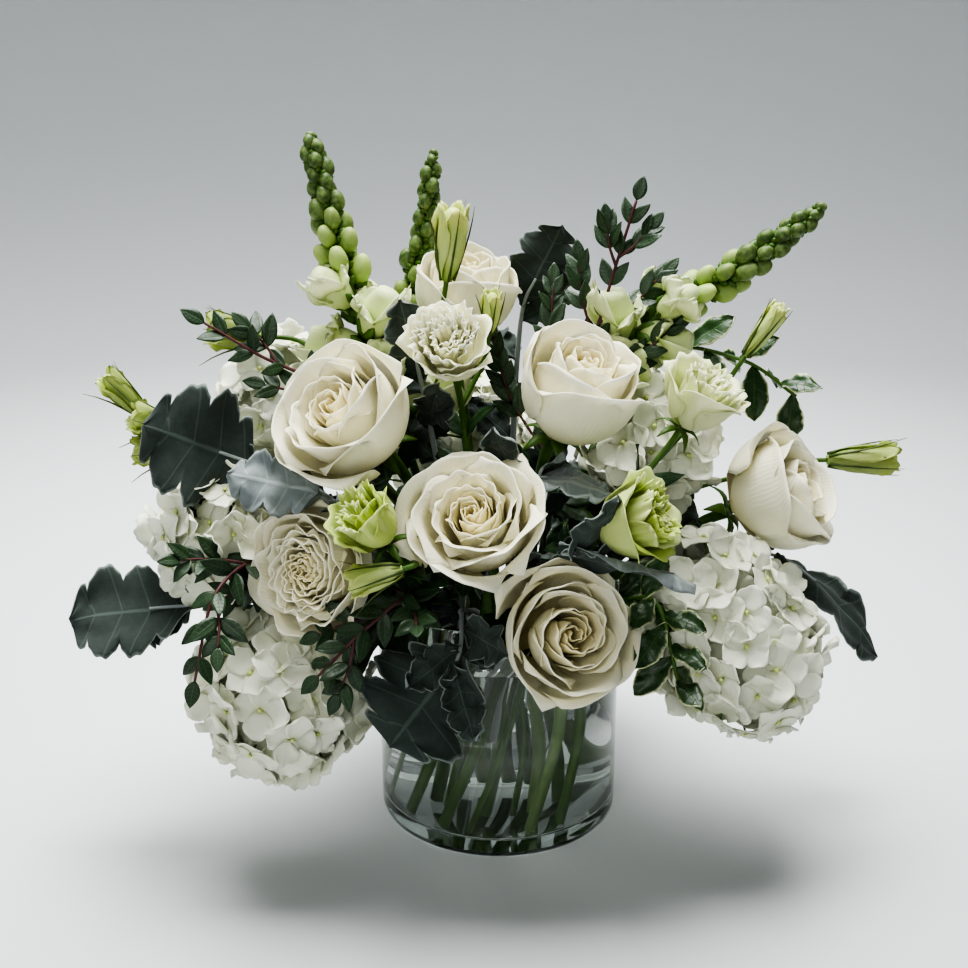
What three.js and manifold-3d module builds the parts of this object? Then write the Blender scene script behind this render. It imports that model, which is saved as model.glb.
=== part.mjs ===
// A floral table centerpiece: cream roses, white hydrangeas, snapdragons and
// green-white lisianthus with dusty miller, parvifolia eucalyptus and
// variegated pittosporum, standing in a clear glass cylinder of water.
// Millimetres, +Z up, origin at the middle of the vase's underside, front to -Y.
import * as THREE from "three";
import { mergeVertices } from "three/addons/utils/BufferGeometryUtils.js";
import Module from "manifold-3d";

const wasm = await Module();
wasm.setup();

// ---- driving dimensions ----
const VASE_RADIUS = 76;
const VASE_HEIGHT = 150;
const VASE_WALL = 4;
const VASE_FLOOR = 10;
const VASE_EDGE = 2; // rounding of the foot and the lip
const VASE_SIDES = 32;
const WATER_LEVEL = 119;
const GAP = 0.3; // between solids that touch on the real thing

// Stems lean in three rings, all with the same twist, so that none crosses another.
const RING_RADIUS = { outer: 61, middle: 46, inner: 30 };
const RING_TWIST = THREE.MathUtils.degToRad(48);
const STEM_SPACING = { outer: 10, middle: 7, inner: 9 };
const SPREADING_ROUNDS = 300;
const SHORT_STEM_FOOT = 62; // cut ends of the short filler stems, above the underside
const LIP_CLEARANCE = 12; // how far over the lip a low stem passes

const GOLDEN_ANGLE = Math.PI * (3 - Math.sqrt(5));
const PETAL = 0.9; // thickness of petals
const LEAF = 0.8; // thickness of leaves
const LEAF_FOLD = 0.1; // how steeply a leaf's halves rise from its rib
const CORE_RADIUS = 0.64; // a hydrangea's core, as a share of its head
const FLORET_DEPTH = 0.46; // how far a floret's shaft reaches in, as a share of the head's radius
const HEAD_COVER = 1.72; // share of a head's height, from its top, that florets cover, times 2
const SIDE_STALK = 1.5; // radius of a side bud's stalk
const SPIKE_ITEMS = 14; // florets and buds on a snapdragon
const SEPAL = 0.9; // radius of a bud's needle sepal
const TOWARD_FRONT = [0, -0.8, 0.6]; // the side from which the sprays' leaves show their faces
const LEAF_ROOT = 0.4; // how far a leaf starts behind its stem's middle line
const SEED = 11;

// ---- colours ----
const paint = (color, roughness = 0.6, more = {}) =>
  new THREE.MeshStandardMaterial({ color, roughness, metalness: 0, ...more });
const glass = paint(0xdfe6e4, 0.05, { transparent: true, opacity: 0.3 });
const water = paint(0xdde3dc, 0.05, { transparent: true, opacity: 0.4 });
const cream = paint(0xeee9dc);
const white = paint(0xf1f1ea);
const limeWhite = paint(0xd5dfa4);
const stemGreen = paint(0x50702c);
const snapGreen = paint(0xa9c07c);
const budGreen = paint(0xa4b866);
const feltGrey = paint(0x59655f, 0.9);
const leafGreen = paint(0x2c4028);
const variegated = paint(0x3d5a33);

// ---- small tools ----
function random(seed) {
  let state = seed;
  return () => {
    state = (state * 1664525 + 1013904223) % 4294967296;
    return state / 4294967296;
  };
}

const at = (list) => new THREE.Vector3(...list);
const mix = THREE.MathUtils.lerp;

// Turns local +Z to the direction and moves the origin to the place.
function aim(place, direction, turn = 0) {
  const toward = new THREE.Quaternion().setFromUnitVectors(
    new THREE.Vector3(0, 0, 1),
    direction.clone().normalize(),
  );
  const spin = new THREE.Quaternion().setFromAxisAngle(new THREE.Vector3(0, 0, 1), turn);
  return new THREE.Matrix4().compose(place, toward.multiply(spin), new THREE.Vector3(1, 1, 1));
}

function solid(geometry) {
  const bare = new THREE.BufferGeometry();
  bare.setAttribute("position", geometry.getAttribute("position"));
  bare.setIndex(geometry.index);
  const merged = mergeVertices(bare, 1e-3);
  return new wasm.Manifold(
    new wasm.Mesh({
      numProp: 3,
      vertProperties: new Float32Array(merged.attributes.position.array),
      triVerts: new Uint32Array(merged.index.array),
    }),
  );
}

const join = (solids) => wasm.Manifold.union(solids);

// The largest body of a solid: trimming may leave loose scraps, which are dropped.
function whole(body) {
  const bodies = body.decompose();
  return bodies.reduce((most, next) => (next.volume() > most.volume() ? next : most));
}

function mesh(name, body, material) {
  const cut = whole(body).getMesh();
  const geometry = new THREE.BufferGeometry();
  geometry.setAttribute("position", new THREE.BufferAttribute(new Float32Array(cut.vertProperties), 3));
  geometry.setIndex(new THREE.BufferAttribute(new Uint32Array(cut.triVerts), 1));
  geometry.computeVertexNormals();
  const made = new THREE.Mesh(geometry, material);
  made.name = name;
  return made;
}

// ---- building shapes ----

// A round section along a curve.
function tube(curve, radius, sides, steps) {
  const section = new THREE.Shape();
  for (let i = 0; i < sides; i++) {
    const angle = (2 * Math.PI * i) / sides;
    const x = radius * Math.cos(angle);
    const y = radius * Math.sin(angle);
    if (i === 0) section.moveTo(x, y);
    else section.lineTo(x, y);
  }
  return solid(new THREE.ExtrudeGeometry(section, { steps, extrudePath: curve, curveSegments: 1 }));
}

// A blade: the sheet point(u, v), u and v from 0 to 1, given its thickness to both
// sides. Both faces are split into the same triangles.
function blade(point, columns, rows, thickness) {
  const sheet = new THREE.PlaneGeometry(1, 1, columns, rows);
  const uv = sheet.getAttribute("uv");
  const count = uv.count;
  const positions = new Float32Array(6 * count);
  const step = 1e-3;
  for (let i = 0; i < count; i++) {
    const u = uv.getX(i);
    const v = uv.getY(i);
    const here = point(u, v);
    const along = point(u + step, v).sub(point(u - step, v));
    const up = point(u, v + step).sub(point(u, v - step));
    const offset = along.cross(up).normalize().multiplyScalar(thickness / 2);
    here.clone().add(offset).toArray(positions, 3 * i);
    here.clone().sub(offset).toArray(positions, 3 * (i + count));
  }
  const front = Array.from(sheet.index.array);
  const back = [];
  for (let i = 0; i < front.length; i += 3) {
    back.push(front[i] + count, front[i + 2] + count, front[i + 1] + count);
  }
  const rim = [];
  const row = columns + 1;
  for (let i = 0; i < columns; i++) rim.push(rows * row + i);
  for (let i = rows; i > 0; i--) rim.push(i * row + columns);
  for (let i = columns; i > 0; i--) rim.push(i);
  for (let i = 0; i < rows; i++) rim.push(i * row);
  const edge = [];
  rim.forEach((a, i) => {
    const b = rim[(i + 1) % rim.length];
    edge.push(a, a + count, b + count, a, b + count, b);
  });
  const geometry = new THREE.BufferGeometry();
  geometry.setAttribute("position", new THREE.BufferAttribute(positions, 3));
  geometry.setIndex([...front, ...back, ...edge]);
  return geometry;
}

// A petal on a cup round +Z: from its root [r, z] over the belly to a rim turned out by
// flare. One side edge stands out and the other in by the skew, so neighbours overlap
// like tiles and never cross.
function cupPetal({ azimuth, spread, root, radius, height, flare, skew, ruffle = 0, columns, rows }) {
  const [rootRadius, rootHeight] = root;
  const side = new THREE.SplineCurve([
    new THREE.Vector2(rootRadius, rootHeight),
    new THREE.Vector2(0.86 * radius, mix(rootHeight, height, 0.3)),
    new THREE.Vector2(radius, mix(rootHeight, height, 0.66)),
    new THREE.Vector2(flare * radius, height),
  ]);
  const point = (u, v) => {
    const across = 2 * u - 1;
    const level = side.getPoint(THREE.MathUtils.clamp(v, 0, 1));
    const angle = azimuth + across * spread * mix(0.32, 1, Math.min(1, 2.6 * v));
    const wave = ruffle * v * Math.cos(3.2 * Math.PI * u);
    const r = level.x + skew * across + v * wave;
    const z = level.y - 0.16 * height * v * v * across * across + 0.6 * wave;
    return new THREE.Vector3(r * Math.cos(angle), r * Math.sin(angle), z);
  };
  return blade(point, columns, rows, PETAL);
}

// A floret: four flat lobes round a lower middle, drawn in to a slim square shaft that comes
// to a point at z = 0. The notches between the lobes stand over the shaft's corners.
function lobedCone(radius, height, notch, dish) {
  const lobes = 4;
  const points = [];
  for (let i = 0; i < 3 * lobes; i++) {
    const angle = (2 * Math.PI * i) / (3 * lobes);
    const inNotch = i % 3 === 0;
    const r = inNotch ? notch * radius : radius;
    const z = height - (inNotch ? dish : 0);
    points.push(new THREE.Vector3(r * Math.cos(angle), r * Math.sin(angle), z));
  }
  const shaft = points.length;
  for (let i = 0; i < lobes; i++) {
    const corner = points[3 * i].clone().multiplyScalar(0.3 / notch);
    points.push(corner.setZ(0.62 * height));
  }
  const tip = points.length;
  points.push(new THREE.Vector3(0, 0, 0));
  const faces = [0, 3, 6, 0, 6, 9];
  for (let i = 0; i < lobes; i++) {
    const next = (i + 1) % lobes;
    const [a, b, c, d] = [3 * i, 3 * i + 1, 3 * i + 2, 3 * next];
    faces.push(a, b, c, a, c, d);
    faces.push(shaft + i, b, a, shaft + i, c, b, shaft + i, shaft + next, c, shaft + next, d, c);
    faces.push(tip, shaft + next, shaft + i);
  }
  return new THREE.BufferGeometry().setFromPoints(points).setIndex(faces);
}

// A leaf outline drawn half and mirrored: pairs of [along, half width], as shares of the length.
function leafShape(length, halfWidth, half) {
  const shape = new THREE.Shape();
  shape.moveTo(0, 0);
  half.forEach(([along, wide]) => shape.lineTo(along * length, wide * halfWidth));
  shape.lineTo(length, 0);
  [...half].reverse().forEach(([along, wide]) => shape.lineTo(along * length, -wide * halfWidth));
  return shape;
}

// A leaf lying along +X with its upper face to +Z, folded at the rib and arched over its length.
function leafGeometry(shape, length, arch) {
  const geometry = new THREE.ExtrudeGeometry(shape, { depth: LEAF, bevelEnabled: false });
  const position = geometry.getAttribute("position");
  for (let i = 0; i < position.count; i++) {
    const x = position.getX(i);
    const y = position.getY(i);
    const share = x / length;
    position.setZ(i, position.getZ(i) + LEAF_FOLD * Math.abs(y) - arch * length * share * share);
  }
  return geometry;
}

// ---- where stems stand ----
// Each ring's stems stand in the order of their blooms round the vase, each under its own
// bloom, and are then pushed apart along the ring until none stands closer than the spacing.
function ringSlots(plants) {
  const slots = new Map();
  for (const [ring, radius] of Object.entries(RING_RADIUS)) {
    const pitch = STEM_SPACING[ring] / (radius * Math.cos(RING_TWIST / 2));
    const members = plants
      .filter((one) => one.ring === ring)
      .map(({ name, place }) => ({ name, angle: Math.atan2(place[1], place[0]) }))
      .sort((a, b) => a.angle - b.angle);
    for (let round = 0; round < SPREADING_ROUNDS; round++) {
      members.forEach((one, i) => {
        const next = members[(i + 1) % members.length];
        const turn = i + 1 === members.length ? 2 * Math.PI : 0;
        const lack = pitch - (next.angle + turn - one.angle);
        if (lack <= 0) return;
        one.angle -= lack / 2;
        next.angle += lack / 2;
      });
    }
    members.forEach(({ name, angle }) => slots.set(name, angle));
  }
  return slots;
}

// A stem: straight from its cut foot to the mouth of the vase, then bent on through the
// points beyond, over the lip first where it ends low outside. The straight run is one step.
class StemPath extends THREE.Curve {
  constructor(plant, slots, beyond, steps) {
    super();
    const angle = slots.get(plant.name);
    const r = RING_RADIUS[plant.ring];
    const lean = Math.atan((2 * r * Math.sin(RING_TWIST / 2)) / (VASE_HEIGHT - VASE_FLOOR));
    this.foot = new THREE.Vector3(
      r * Math.cos(angle - RING_TWIST),
      r * Math.sin(angle - RING_TWIST),
      VASE_FLOOR + GAP + plant.thick * Math.sin(lean),
    );
    this.mouth = new THREE.Vector3(r * Math.cos(angle), r * Math.sin(angle), VASE_HEIGHT);
    const raise = (SHORT_STEM_FOOT - VASE_FLOOR) / (VASE_HEIGHT - VASE_FLOOR);
    if (plant.short) this.foot.lerp(this.mouth, raise);
    const points = [this.mouth];
    const end = beyond[0];
    if (end.z < VASE_HEIGHT + 3 * LIP_CLEARANCE && Math.hypot(end.x, end.y) > VASE_RADIUS) {
      const out = VASE_RADIUS / r;
      const overLip = VASE_HEIGHT + LIP_CLEARANCE;
      points.push(new THREE.Vector3(this.mouth.x * out, this.mouth.y * out, overLip));
    }
    this.bend = new THREE.CatmullRomCurve3([...points, ...beyond], false, "centripetal");
    this.straight = 1 / steps;
  }

  getPoint(t) {
    if (t <= this.straight) return this.foot.clone().lerp(this.mouth, t / this.straight);
    return this.bend.getPointAt(Math.min(1, (t - this.straight) / (1 - this.straight)));
  }

  // The point on the tube's middle line, which runs straight between its steps.
  onChord(t) {
    const step = Math.min(Math.floor(t / this.straight), Math.round(1 / this.straight) - 1);
    const from = this.getPoint(step * this.straight);
    const to = this.getPoint((step + 1) * this.straight);
    return { point: from.clone().lerp(to, t / this.straight - step), along: to.sub(from).normalize() };
  }

  getSpacedPoints(count) {
    return this.getPoints(count);
  }

  getTangentAt(t) {
    return this.getTangent(t);
  }
}

// ---- the plants ----
// place is the middle of the bloom, facing the way it opens; stems stand in the named ring.
// turn is how far a bloom's petals are turned round its axis.
const plant = (name, ring, place, facing, size = {}) => ({ name, ring, place, facing, ...size });

const ROSES = [
  plant("rose_upper_left", "inner", [-82, -75, 277], [-0.48, -0.56, 0.68], { radius: 41, height: 60 }),
  plant("rose_centre", "outer", [-13, -105, 226], [-0.15, -0.67, 0.73], { radius: 36, height: 56 }),
  plant("rose_upper_right", "inner", [41, -60, 289], [0.32, -0.35, 0.89], { radius: 36, height: 66 }),
  plant("rose_low_front", "outer", [33, -112, 166], [0.33, -0.86, 0.38], { radius: 37, height: 54 }),
  plant("rose_left", "outer", [-99, -95, 197], [-0.5, -0.8, 0.25], { radius: 35, height: 48 }),
  plant("rose_back_top", "inner", [-20, 25, 326], [0.1, -0.15, 0.98], { radius: 31, height: 58 }),
  plant("rose_right", "outer", [164, -22, 215], [0.8, -0.35, 0.45], { radius: 37, height: 60 }),
  plant("rose_back", "outer", [80, 84, 240], [0.45, 0.7, 0.5], { radius: 37, height: 56 }),
];
const HYDRANGEAS = [
  plant("hydrangea_low_left", "outer", [-127, -75, 113], [-0.75, -0.45, -0.45], {
    radius: 49, height: 98, florets: 15,
  }),
  plant("hydrangea_left", "outer", [-162, -38, 200], [-0.9, -0.25, 0.2], {
    radius: 41, height: 80, florets: 12,
  }),
  plant("hydrangea_upper_left", "inner", [-128, 28, 256], [-0.75, 0.15, 0.6], {
    radius: 42, height: 80, florets: 12,
  }),
  plant("hydrangea_low_right", "outer", [131, -62, 146], [0.62, -0.3, -0.72], {
    radius: 48, height: 132, florets: 18,
  }),
  plant("hydrangea_upper_right", "inner", [88, 4, 239], [0.5, -0.3, 0.75], {
    radius: 40, height: 76, florets: 12,
  }),
  plant("hydrangea_back", "outer", [-30, 100, 212], [-0.2, 0.85, 0.5], {
    radius: 50, height: 96, florets: 15,
  }),
];
const BLOOMS = [
  plant("lisianthus_centre", "inner", [-28, -60, 315], [-0.1, -0.72, 0.68], {
    radius: 23, height: 36, double: true,
  }),
  plant("lisianthus_left", "outer", [-70, -126, 236], [-0.5, -0.45, 0.74], { radius: 17, height: 36 }),
  plant("lisianthus_right", "outer", [69, -112, 232], [0.8, -0.45, 0.4], { radius: 20, height: 44 }),
  plant("lisianthus_upper_right", "inner", [110, -58, 284], [0.4, -0.3, 0.87], {
    radius: 20, height: 40, turn: 0.4, via: [[70, -52, 222]],
  }),
];
// Buds: [base, tip, radius]. The first bud of a plant with no open bloom ends its stem.
const BUDS = {
  lisianthus_centre: [
    [[-31, -10, 342], [-26, -12, 388], 8],
    [[-7, -28, 314], [-4, -34, 342], 6],
  ],
  lisianthus_left: [[[-52, -130, 212], [-82, -137, 205], 8]],
  lisianthus_upper_right: [[[142, -20, 300], [162, -22, 332], 6]],
  lisianthus_far_right: [[[203, 15, 226], [250, 14, 228], 9]],
  lisianthus_far_left: [
    [[-214, 8, 256], [-240, 6, 284], 8],
    [[-196, 0, 250], [-222, -8, 262], 10],
    [[-192, -4, 238], [-222, -12, 240], 9],
  ],
  lisianthus_upper_left: [[[-142, 6, 306], [-176, 2, 312], 11]],
};
const BUD_PLANTS = [
  plant("lisianthus_far_right", "middle", [203, 15, 226], [1, -0.05, 0.05], {
    via: [[105, 38, 190], [160, 28, 214]],
  }),
  plant("lisianthus_far_left", "middle", [-196, 20, 240], [-0.7, -0.1, 0.7]),
  plant("lisianthus_upper_left", "inner", [-142, -22, 306], [-1, -0.1, 0.2], {
    via: [[-74, -15, 258]],
  }),
];
// Snapdragons: the stalk above the vase runs through these points to the tip.
const SNAPDRAGONS = [
  plant("snapdragon_left", "inner", [-60, 6, 250], null, {
    route: [[-60, 0, 250], [-78, 2, 300], [-97, 10, 365], [-110, 18, 421]],
    open: [0, 0.42], spike: 0.55,
  }),
  plant("snapdragon_middle", "inner", [-40, 42, 260], null, {
    route: [[-46, 46, 250], [-56, 60, 305], [-46, 62, 362], [-41, 64, 407]],
    open: [0, 0], spike: 0.62,
  }),
  plant("snapdragon_right", "inner", [60, 20, 250], null, {
    route: [[42, 18, 240], [78, 16, 302], [140, 11, 345], [187, 8, 381]],
    open: [0.1, 0.5], spike: 0.55,
  }),
];
// Dusty miller: the leaf stalk passes via, then the blade runs from base to tip, upper face to over.
const DUSTY = [
  plant("dusty_miller_far_left", "middle", [-150, -61, 154], null, {
    via: [[-90, -36, 166], [-140, -54, 158]], base: [-184, -59, 160], tip: [-254, -62, 156],
    over: [-0.1, -0.65, 0.75], width: 30, arch: 0.12,
  }),
  plant("dusty_miller_upper_left", "middle", [-120, -40, 228], null, {
    via: [[-108, -30, 222]], base: [-143, -50, 245], tip: [-198, -66, 272],
    over: [-0.3, -0.85, 0.4], width: 34, arch: 0.05,
  }),
  plant("dusty_miller_grey_left", "middle", [-80, -50, 215], null, {
    via: [], base: [-103, -93, 243], tip: [-148, -94, 252],
    over: [0, 0.8, -0.6], width: 16, arch: 0.05,
  }),
  plant("dusty_miller_far_right", "middle", [120, 0, 170], null, {
    via: [[104, 24, 168]], base: [176, 0, 167], tip: [246, -24, 124],
    over: [0.5, -0.5, 0.7], width: 15, arch: 0.25,
  }),
  plant("dusty_miller_front", "middle", [-25, -80, 165], null, {
    via: [[-22, -82, 166]], base: [-24, -110, 150], tip: [-62, -128, 105],
    over: [-0.1, -0.95, 0.3], width: 36, arch: 0.05,
  }),
  plant("dusty_miller_back_top", "inner", [10, 45, 300], null, {
    via: [[12, 44, 290]], base: [16, 46, 320], tip: [38, 42, 366],
    over: [0.1, -0.95, 0.2], width: 20, arch: 0.05,
  }),
  plant("dusty_miller_middle", "middle", [15, -60, 225], null, {
    via: [[10, -52, 215]], base: [12, -74, 244], tip: [58, -92, 250],
    over: [0.1, -0.3, 0.9], width: 15, arch: 0.2,
  }),
  plant("dusty_miller_curled", "middle", [40, -75, 195], null, {
    via: [[22, -80, 196]], base: [34, -113, 214], tip: [104, -124, 205],
    over: [0, -0.4, -0.9], width: 14, arch: -0.1,
  }),
  plant("dusty_miller_inner_left", "inner", [-50, -20, 270], null, {
    via: [], base: [-46, -30, 290], tip: [-56, -38, 336],
    over: [0.2, -0.95, 0.1], width: 15, arch: 0.05,
  }),
  plant("dusty_miller_back", "middle", [40, 90, 180], null, {
    via: [[32, 84, 176]], base: [40, 112, 176], tip: [58, 160, 136],
    over: [0.1, 0.7, 0.7], width: 30, arch: 0.15,
  }),
];
// Sprays: woody stems with leaves in pairs (eucalyptus) or whorls (pittosporum).
const SPRAYS = [
  plant("eucalyptus_low_left", "middle", [-120, -87, 180], null, {
    route: [[-96, -56, 188], [-134, -70, 195], [-155, -110, 190], [-166, -128, 146]],
    shoot: 0.55, pairs: 4, leaf: 21,
  }),
  plant("eucalyptus_front", "middle", [-66, -88, 180], null, {
    route: [[-48, -76, 172], [-54, -116, 188], [-76, -136, 174], [-98, -142, 152]],
    shoot: 0.55, pairs: 4, leaf: 22,
  }),
  plant("eucalyptus_upper_left", "inner", [-100, -36, 270], null, {
    route: [[-60, -30, 240], [-104, -24, 284], [-138, -26, 302], [-168, -30, 322]],
    shoot: 0.55, pairs: 4, leaf: 21,
  }),
  plant("eucalyptus_upper_right", "inner", [60, 20, 300], null, {
    route: [[30, 2, 240], [54, 2, 300], [67, 6, 345], [79, 8, 386]],
    shoot: 0.5, pairs: 4, leaf: 18,
  }),
];
const PITTOSPORUM = [
  plant("pittosporum_low", "middle", [60, -90, 180], null, {
    route: [[67, -75, 170], [86, -95, 178], [97, -121, 142]],
    shoot: 0.6, leaf: 30, leaves: 4,
  }),
  plant("pittosporum_right", "inner", [60, 62, 265], null, {
    route: [[30, 38, 225], [84, 47, 288], [150, 30, 286], [184, 26, 264]],
    shoot: 0.66, leaf: 34, leaves: 4,
  }),
];

const THICK = {
  rose: 3.4,
  hydrangea: 3.6,
  lisianthus: 1.8,
  snapdragon: 3.2,
  dusty: 2.2,
  eucalyptus: 1.4,
  pittosporum: 1.8,
};
for (const list of [ROSES, HYDRANGEAS, BLOOMS, BUD_PLANTS, SNAPDRAGONS, DUSTY, SPRAYS, PITTOSPORUM]) {
  for (const one of list) {
    one.thick = THICK[one.name.split("_")[0]];
    one.short = [DUSTY, SPRAYS, PITTOSPORUM, BUD_PLANTS].includes(list);
  }
}
const PLANTS = [ROSES, HYDRANGEAS, BLOOMS, BUD_PLANTS, SNAPDRAGONS, DUSTY, SPRAYS, PITTOSPORUM].flat();
const SLOTS = ringSlots(PLANTS);

// ---- one kind of piece after another ----

// The tube of a plant's stem, and the plain hole that it stands in, wider by the gap.
function stalk(one, beyond, sides, steps) {
  const curve = new StemPath(one, SLOTS, beyond, steps);
  const straight = new THREE.LineCurve3(curve.foot, curve.mouth);
  one.hole = tube(straight, one.thick + 1.5 * GAP, sides, 1).translate([0, 0, -GAP]);
  return { curve, body: tube(curve, one.thick, sides, steps) };
}

// Where a bloom meets its stem: the underside of the bloom, on its axis.
function neckOf(one, below) {
  return at(one.place).addScaledVector(at(one.facing).normalize(), -one.height / 2 - below);
}

// The solid middle of a bloom that the petals grow from: flat below, where the stem meets it.
function heart(radius, height, foot, sides) {
  const profile = [
    [0, 0],
    [foot, 0],
    [0.4 * radius, 0.3 * height],
    [0, 0.82 * height],
  ];
  return new THREE.LatheGeometry(profile.map(([x, y]) => new THREE.Vector2(x, y)), sides).rotateX(Math.PI / 2);
}

// Petals in whorls round a heart, each whorl rooted lower and reaching wider than the last.
function bloomSolid(one, foot, whorls, common) {
  const { radius, height } = one;
  const pieces = [heart(radius, height, foot, common.sides)];
  whorls.forEach((whorl, k) => {
    for (let i = 0; i < whorl.count; i++) {
      pieces.push(
        cupPetal({
          ...common,
          azimuth: (one.turn ?? 0) + 0.7 * k + (2 * Math.PI * i) / whorl.count,
          spread: (whorl.overlap * Math.PI) / whorl.count,
          root: [whorl.root[0] * radius, whorl.root[1] * height],
          radius: whorl.radius * radius,
          height: whorl.height * height,
          flare: whorl.flare,
          skew: whorl.skew,
        }),
      );
    }
  });
  const frame = aim(neckOf(one, 0), at(one.facing));
  return join(pieces.map((piece) => solid(piece.applyMatrix4(frame))));
}

function roseSolid(one) {
  const whorls = [
    { count: 3, root: [0.05, 0.3], radius: 0.62, height: 1, flare: 0.92, overlap: 1.2, skew: 3 },
    { count: 4, root: [0.05, 0.1], radius: 0.92, height: 0.95, flare: 1.08, overlap: 1.3, skew: 3 },
  ];
  return bloomSolid(one, 6, whorls, { columns: 3, rows: 2, sides: 4 });
}

function lisianthusSolid(one) {
  const inner = { count: 3, root: [0.1, 0.24], radius: 0.56, height: 1, flare: 1 };
  const outer = { count: 4, root: [0.1, 0.08], radius: 0.86, height: 0.95, flare: 1.12 };
  const spread = { overlap: 1.15, skew: 2.2 };
  const used = one.double ? [inner, outer] : [outer];
  const whorls = used.map((whorl) => ({ ...whorl, ...spread }));
  return bloomSolid(one, 4, whorls, { columns: 3, rows: 2, ruffle: 0.8, sides: 4 });
}

function hydrangeaSolid(one, neighbours) {
  const { radius, height, florets } = one;
  const long = height / 2;
  const core = new THREE.LatheGeometry(
    [
      new THREE.Vector2(0, -long),
      new THREE.Vector2(6, -long),
      new THREE.Vector2(CORE_RADIUS * radius, -0.1 * long),
      new THREE.Vector2(0.6 * radius, 0.5 * long),
      new THREE.Vector2(0, 0.66 * long),
    ],
    5,
  );
  core.rotateX(Math.PI / 2);
  const frame = aim(at(one.place), at(one.facing));
  const pieces = [solid(core.applyMatrix4(frame))];
  const draw = random(SEED + florets);
  const size = 1.62 * Math.sqrt(1 / florets) * radius;
  for (let i = 0; i < florets; i++) {
    const up = 1 - (HEAD_COVER * (i + 0.5)) / florets;
    const ring = Math.sqrt(1 - up * up);
    const angle = i * GOLDEN_ANGLE;
    const out = new THREE.Vector3(ring * Math.cos(angle), ring * Math.sin(angle), up);
    const reach = 0.93 + 0.05 * draw();
    const depth = FLORET_DEPTH * radius;
    const seat = new THREE.Vector3(out.x * radius, out.y * radius, out.z * long).multiplyScalar(reach);
    const heading = new THREE.Vector3(out.x / radius, out.y / radius, out.z / long).normalize();
    const floret = lobedCone(size, depth, 0.62, 3);
    floret.translate(0, 0, -depth);
    floret.applyMatrix4(aim(seat, heading, draw() * Math.PI));
    const middlePoint = seat.clone().applyMatrix4(frame);
    if (neighbours.some((other) => within(other, middlePoint, 0.3 * size))) continue;
    pieces.push(solid(floret.applyMatrix4(frame)));
  }
  return join(pieces);
}

// Whether a point lies inside a bloom's envelope, grown by a margin.
function within(one, point, margin) {
  const local = point.clone().applyMatrix4(aim(at(one.place), at(one.facing)).invert());
  const across = one.radius + margin;
  const along = Math.max(one.height / 2, one.radius * 0.9) + margin;
  return Math.hypot(local.x / across, local.y / across, local.z / along) < 1;
}

// Five pointed sepals as one star, bent down round the top of the stem.
function calyx(radius, reach) {
  const shape = new THREE.Shape();
  for (let i = 0; i < 10; i++) {
    const angle = (Math.PI * i) / 5;
    const r = i % 2 ? radius * 0.8 : reach;
    if (i === 0) shape.moveTo(r * Math.cos(angle), r * Math.sin(angle));
    else shape.lineTo(r * Math.cos(angle), r * Math.sin(angle));
  }
  const geometry = new THREE.ExtrudeGeometry(shape, { depth: 2 * LEAF, bevelEnabled: false });
  const position = geometry.getAttribute("position");
  for (let i = 0; i < position.count; i++) {
    const r = Math.hypot(position.getX(i), position.getY(i));
    position.setZ(i, position.getZ(i) - 0.35 * Math.max(0, r - radius));
  }
  return geometry;
}

function bloomStem(one, buds = []) {
  const axis = at(one.facing).normalize();
  const seat = neckOf(one, GAP);
  const back = seat.clone().addScaledVector(axis, -0.25 * one.height);
  const { curve, body } = stalk(one, [...(one.via ?? []).map(at), back, seat], 5, 4);
  const pieces = [body];
  if (!HYDRANGEAS.includes(one)) {
    const wide = ROSES.includes(one) ? 6.5 : 3.6;
    const star = calyx(wide, 2.6 * wide);
    star.translate(0, 0, -1.9 * LEAF);
    pieces.push(solid(star.applyMatrix4(aim(seat, axis))));
  }
  buds.forEach((bud) => pieces.push(...budPieces(bud, curve.onChord(0.85).point)));
  return join(pieces);
}

// A closed bud with a needle sepal standing off its side, on a stalk from the given point
// where one is given.
function budPieces([base, tip, radius], from) {
  const start = at(base);
  const axis = at(tip).sub(start);
  const length = axis.length();
  axis.normalize();
  const body = new THREE.LatheGeometry(
    [
      new THREE.Vector2(0, 0),
      new THREE.Vector2(0.3 * radius, 0),
      new THREE.Vector2(radius, 0.42 * length),
      new THREE.Vector2(0.75 * radius, 0.8 * length),
      new THREE.Vector2(0, length),
    ],
    5,
  );
  body.rotateX(Math.PI / 2);
  const frame = aim(start, axis);
  const pieces = [solid(body.applyMatrix4(frame))];
  const needle = new THREE.ConeGeometry(SEPAL, 0.85 * length, 3);
  needle.rotateX(Math.PI / 2);
  needle.translate(0, 0, 0.42 * length);
  needle.rotateY(0.62);
  pieces.push(solid(needle.applyMatrix4(frame)));
  if (from) {
    const inside = start.clone().addScaledVector(axis, 2);
    const bend = start.clone().addScaledVector(axis, -0.3 * start.distanceTo(from));
    const side = new THREE.CatmullRomCurve3([from, bend, inside], false, "centripetal");
    pieces.push(tube(side, SIDE_STALK, 4, 4));
  }
  return pieces;
}

function budPlant(one) {
  const buds = BUDS[one.name];
  const [base, tip] = buds[0];
  const axis = at(tip).sub(at(base)).normalize();
  const end = at(base).addScaledVector(axis, 2);
  const via = (one.via ?? []).map(at);
  const { curve, body } = stalk(one, [...via, at(base).addScaledVector(axis, -25), end], 4, 6);
  const pieces = [body];
  buds.forEach((bud, i) => pieces.push(...budPieces(bud, i ? curve.onChord(0.86).point : null)));
  return join(pieces);
}

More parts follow.
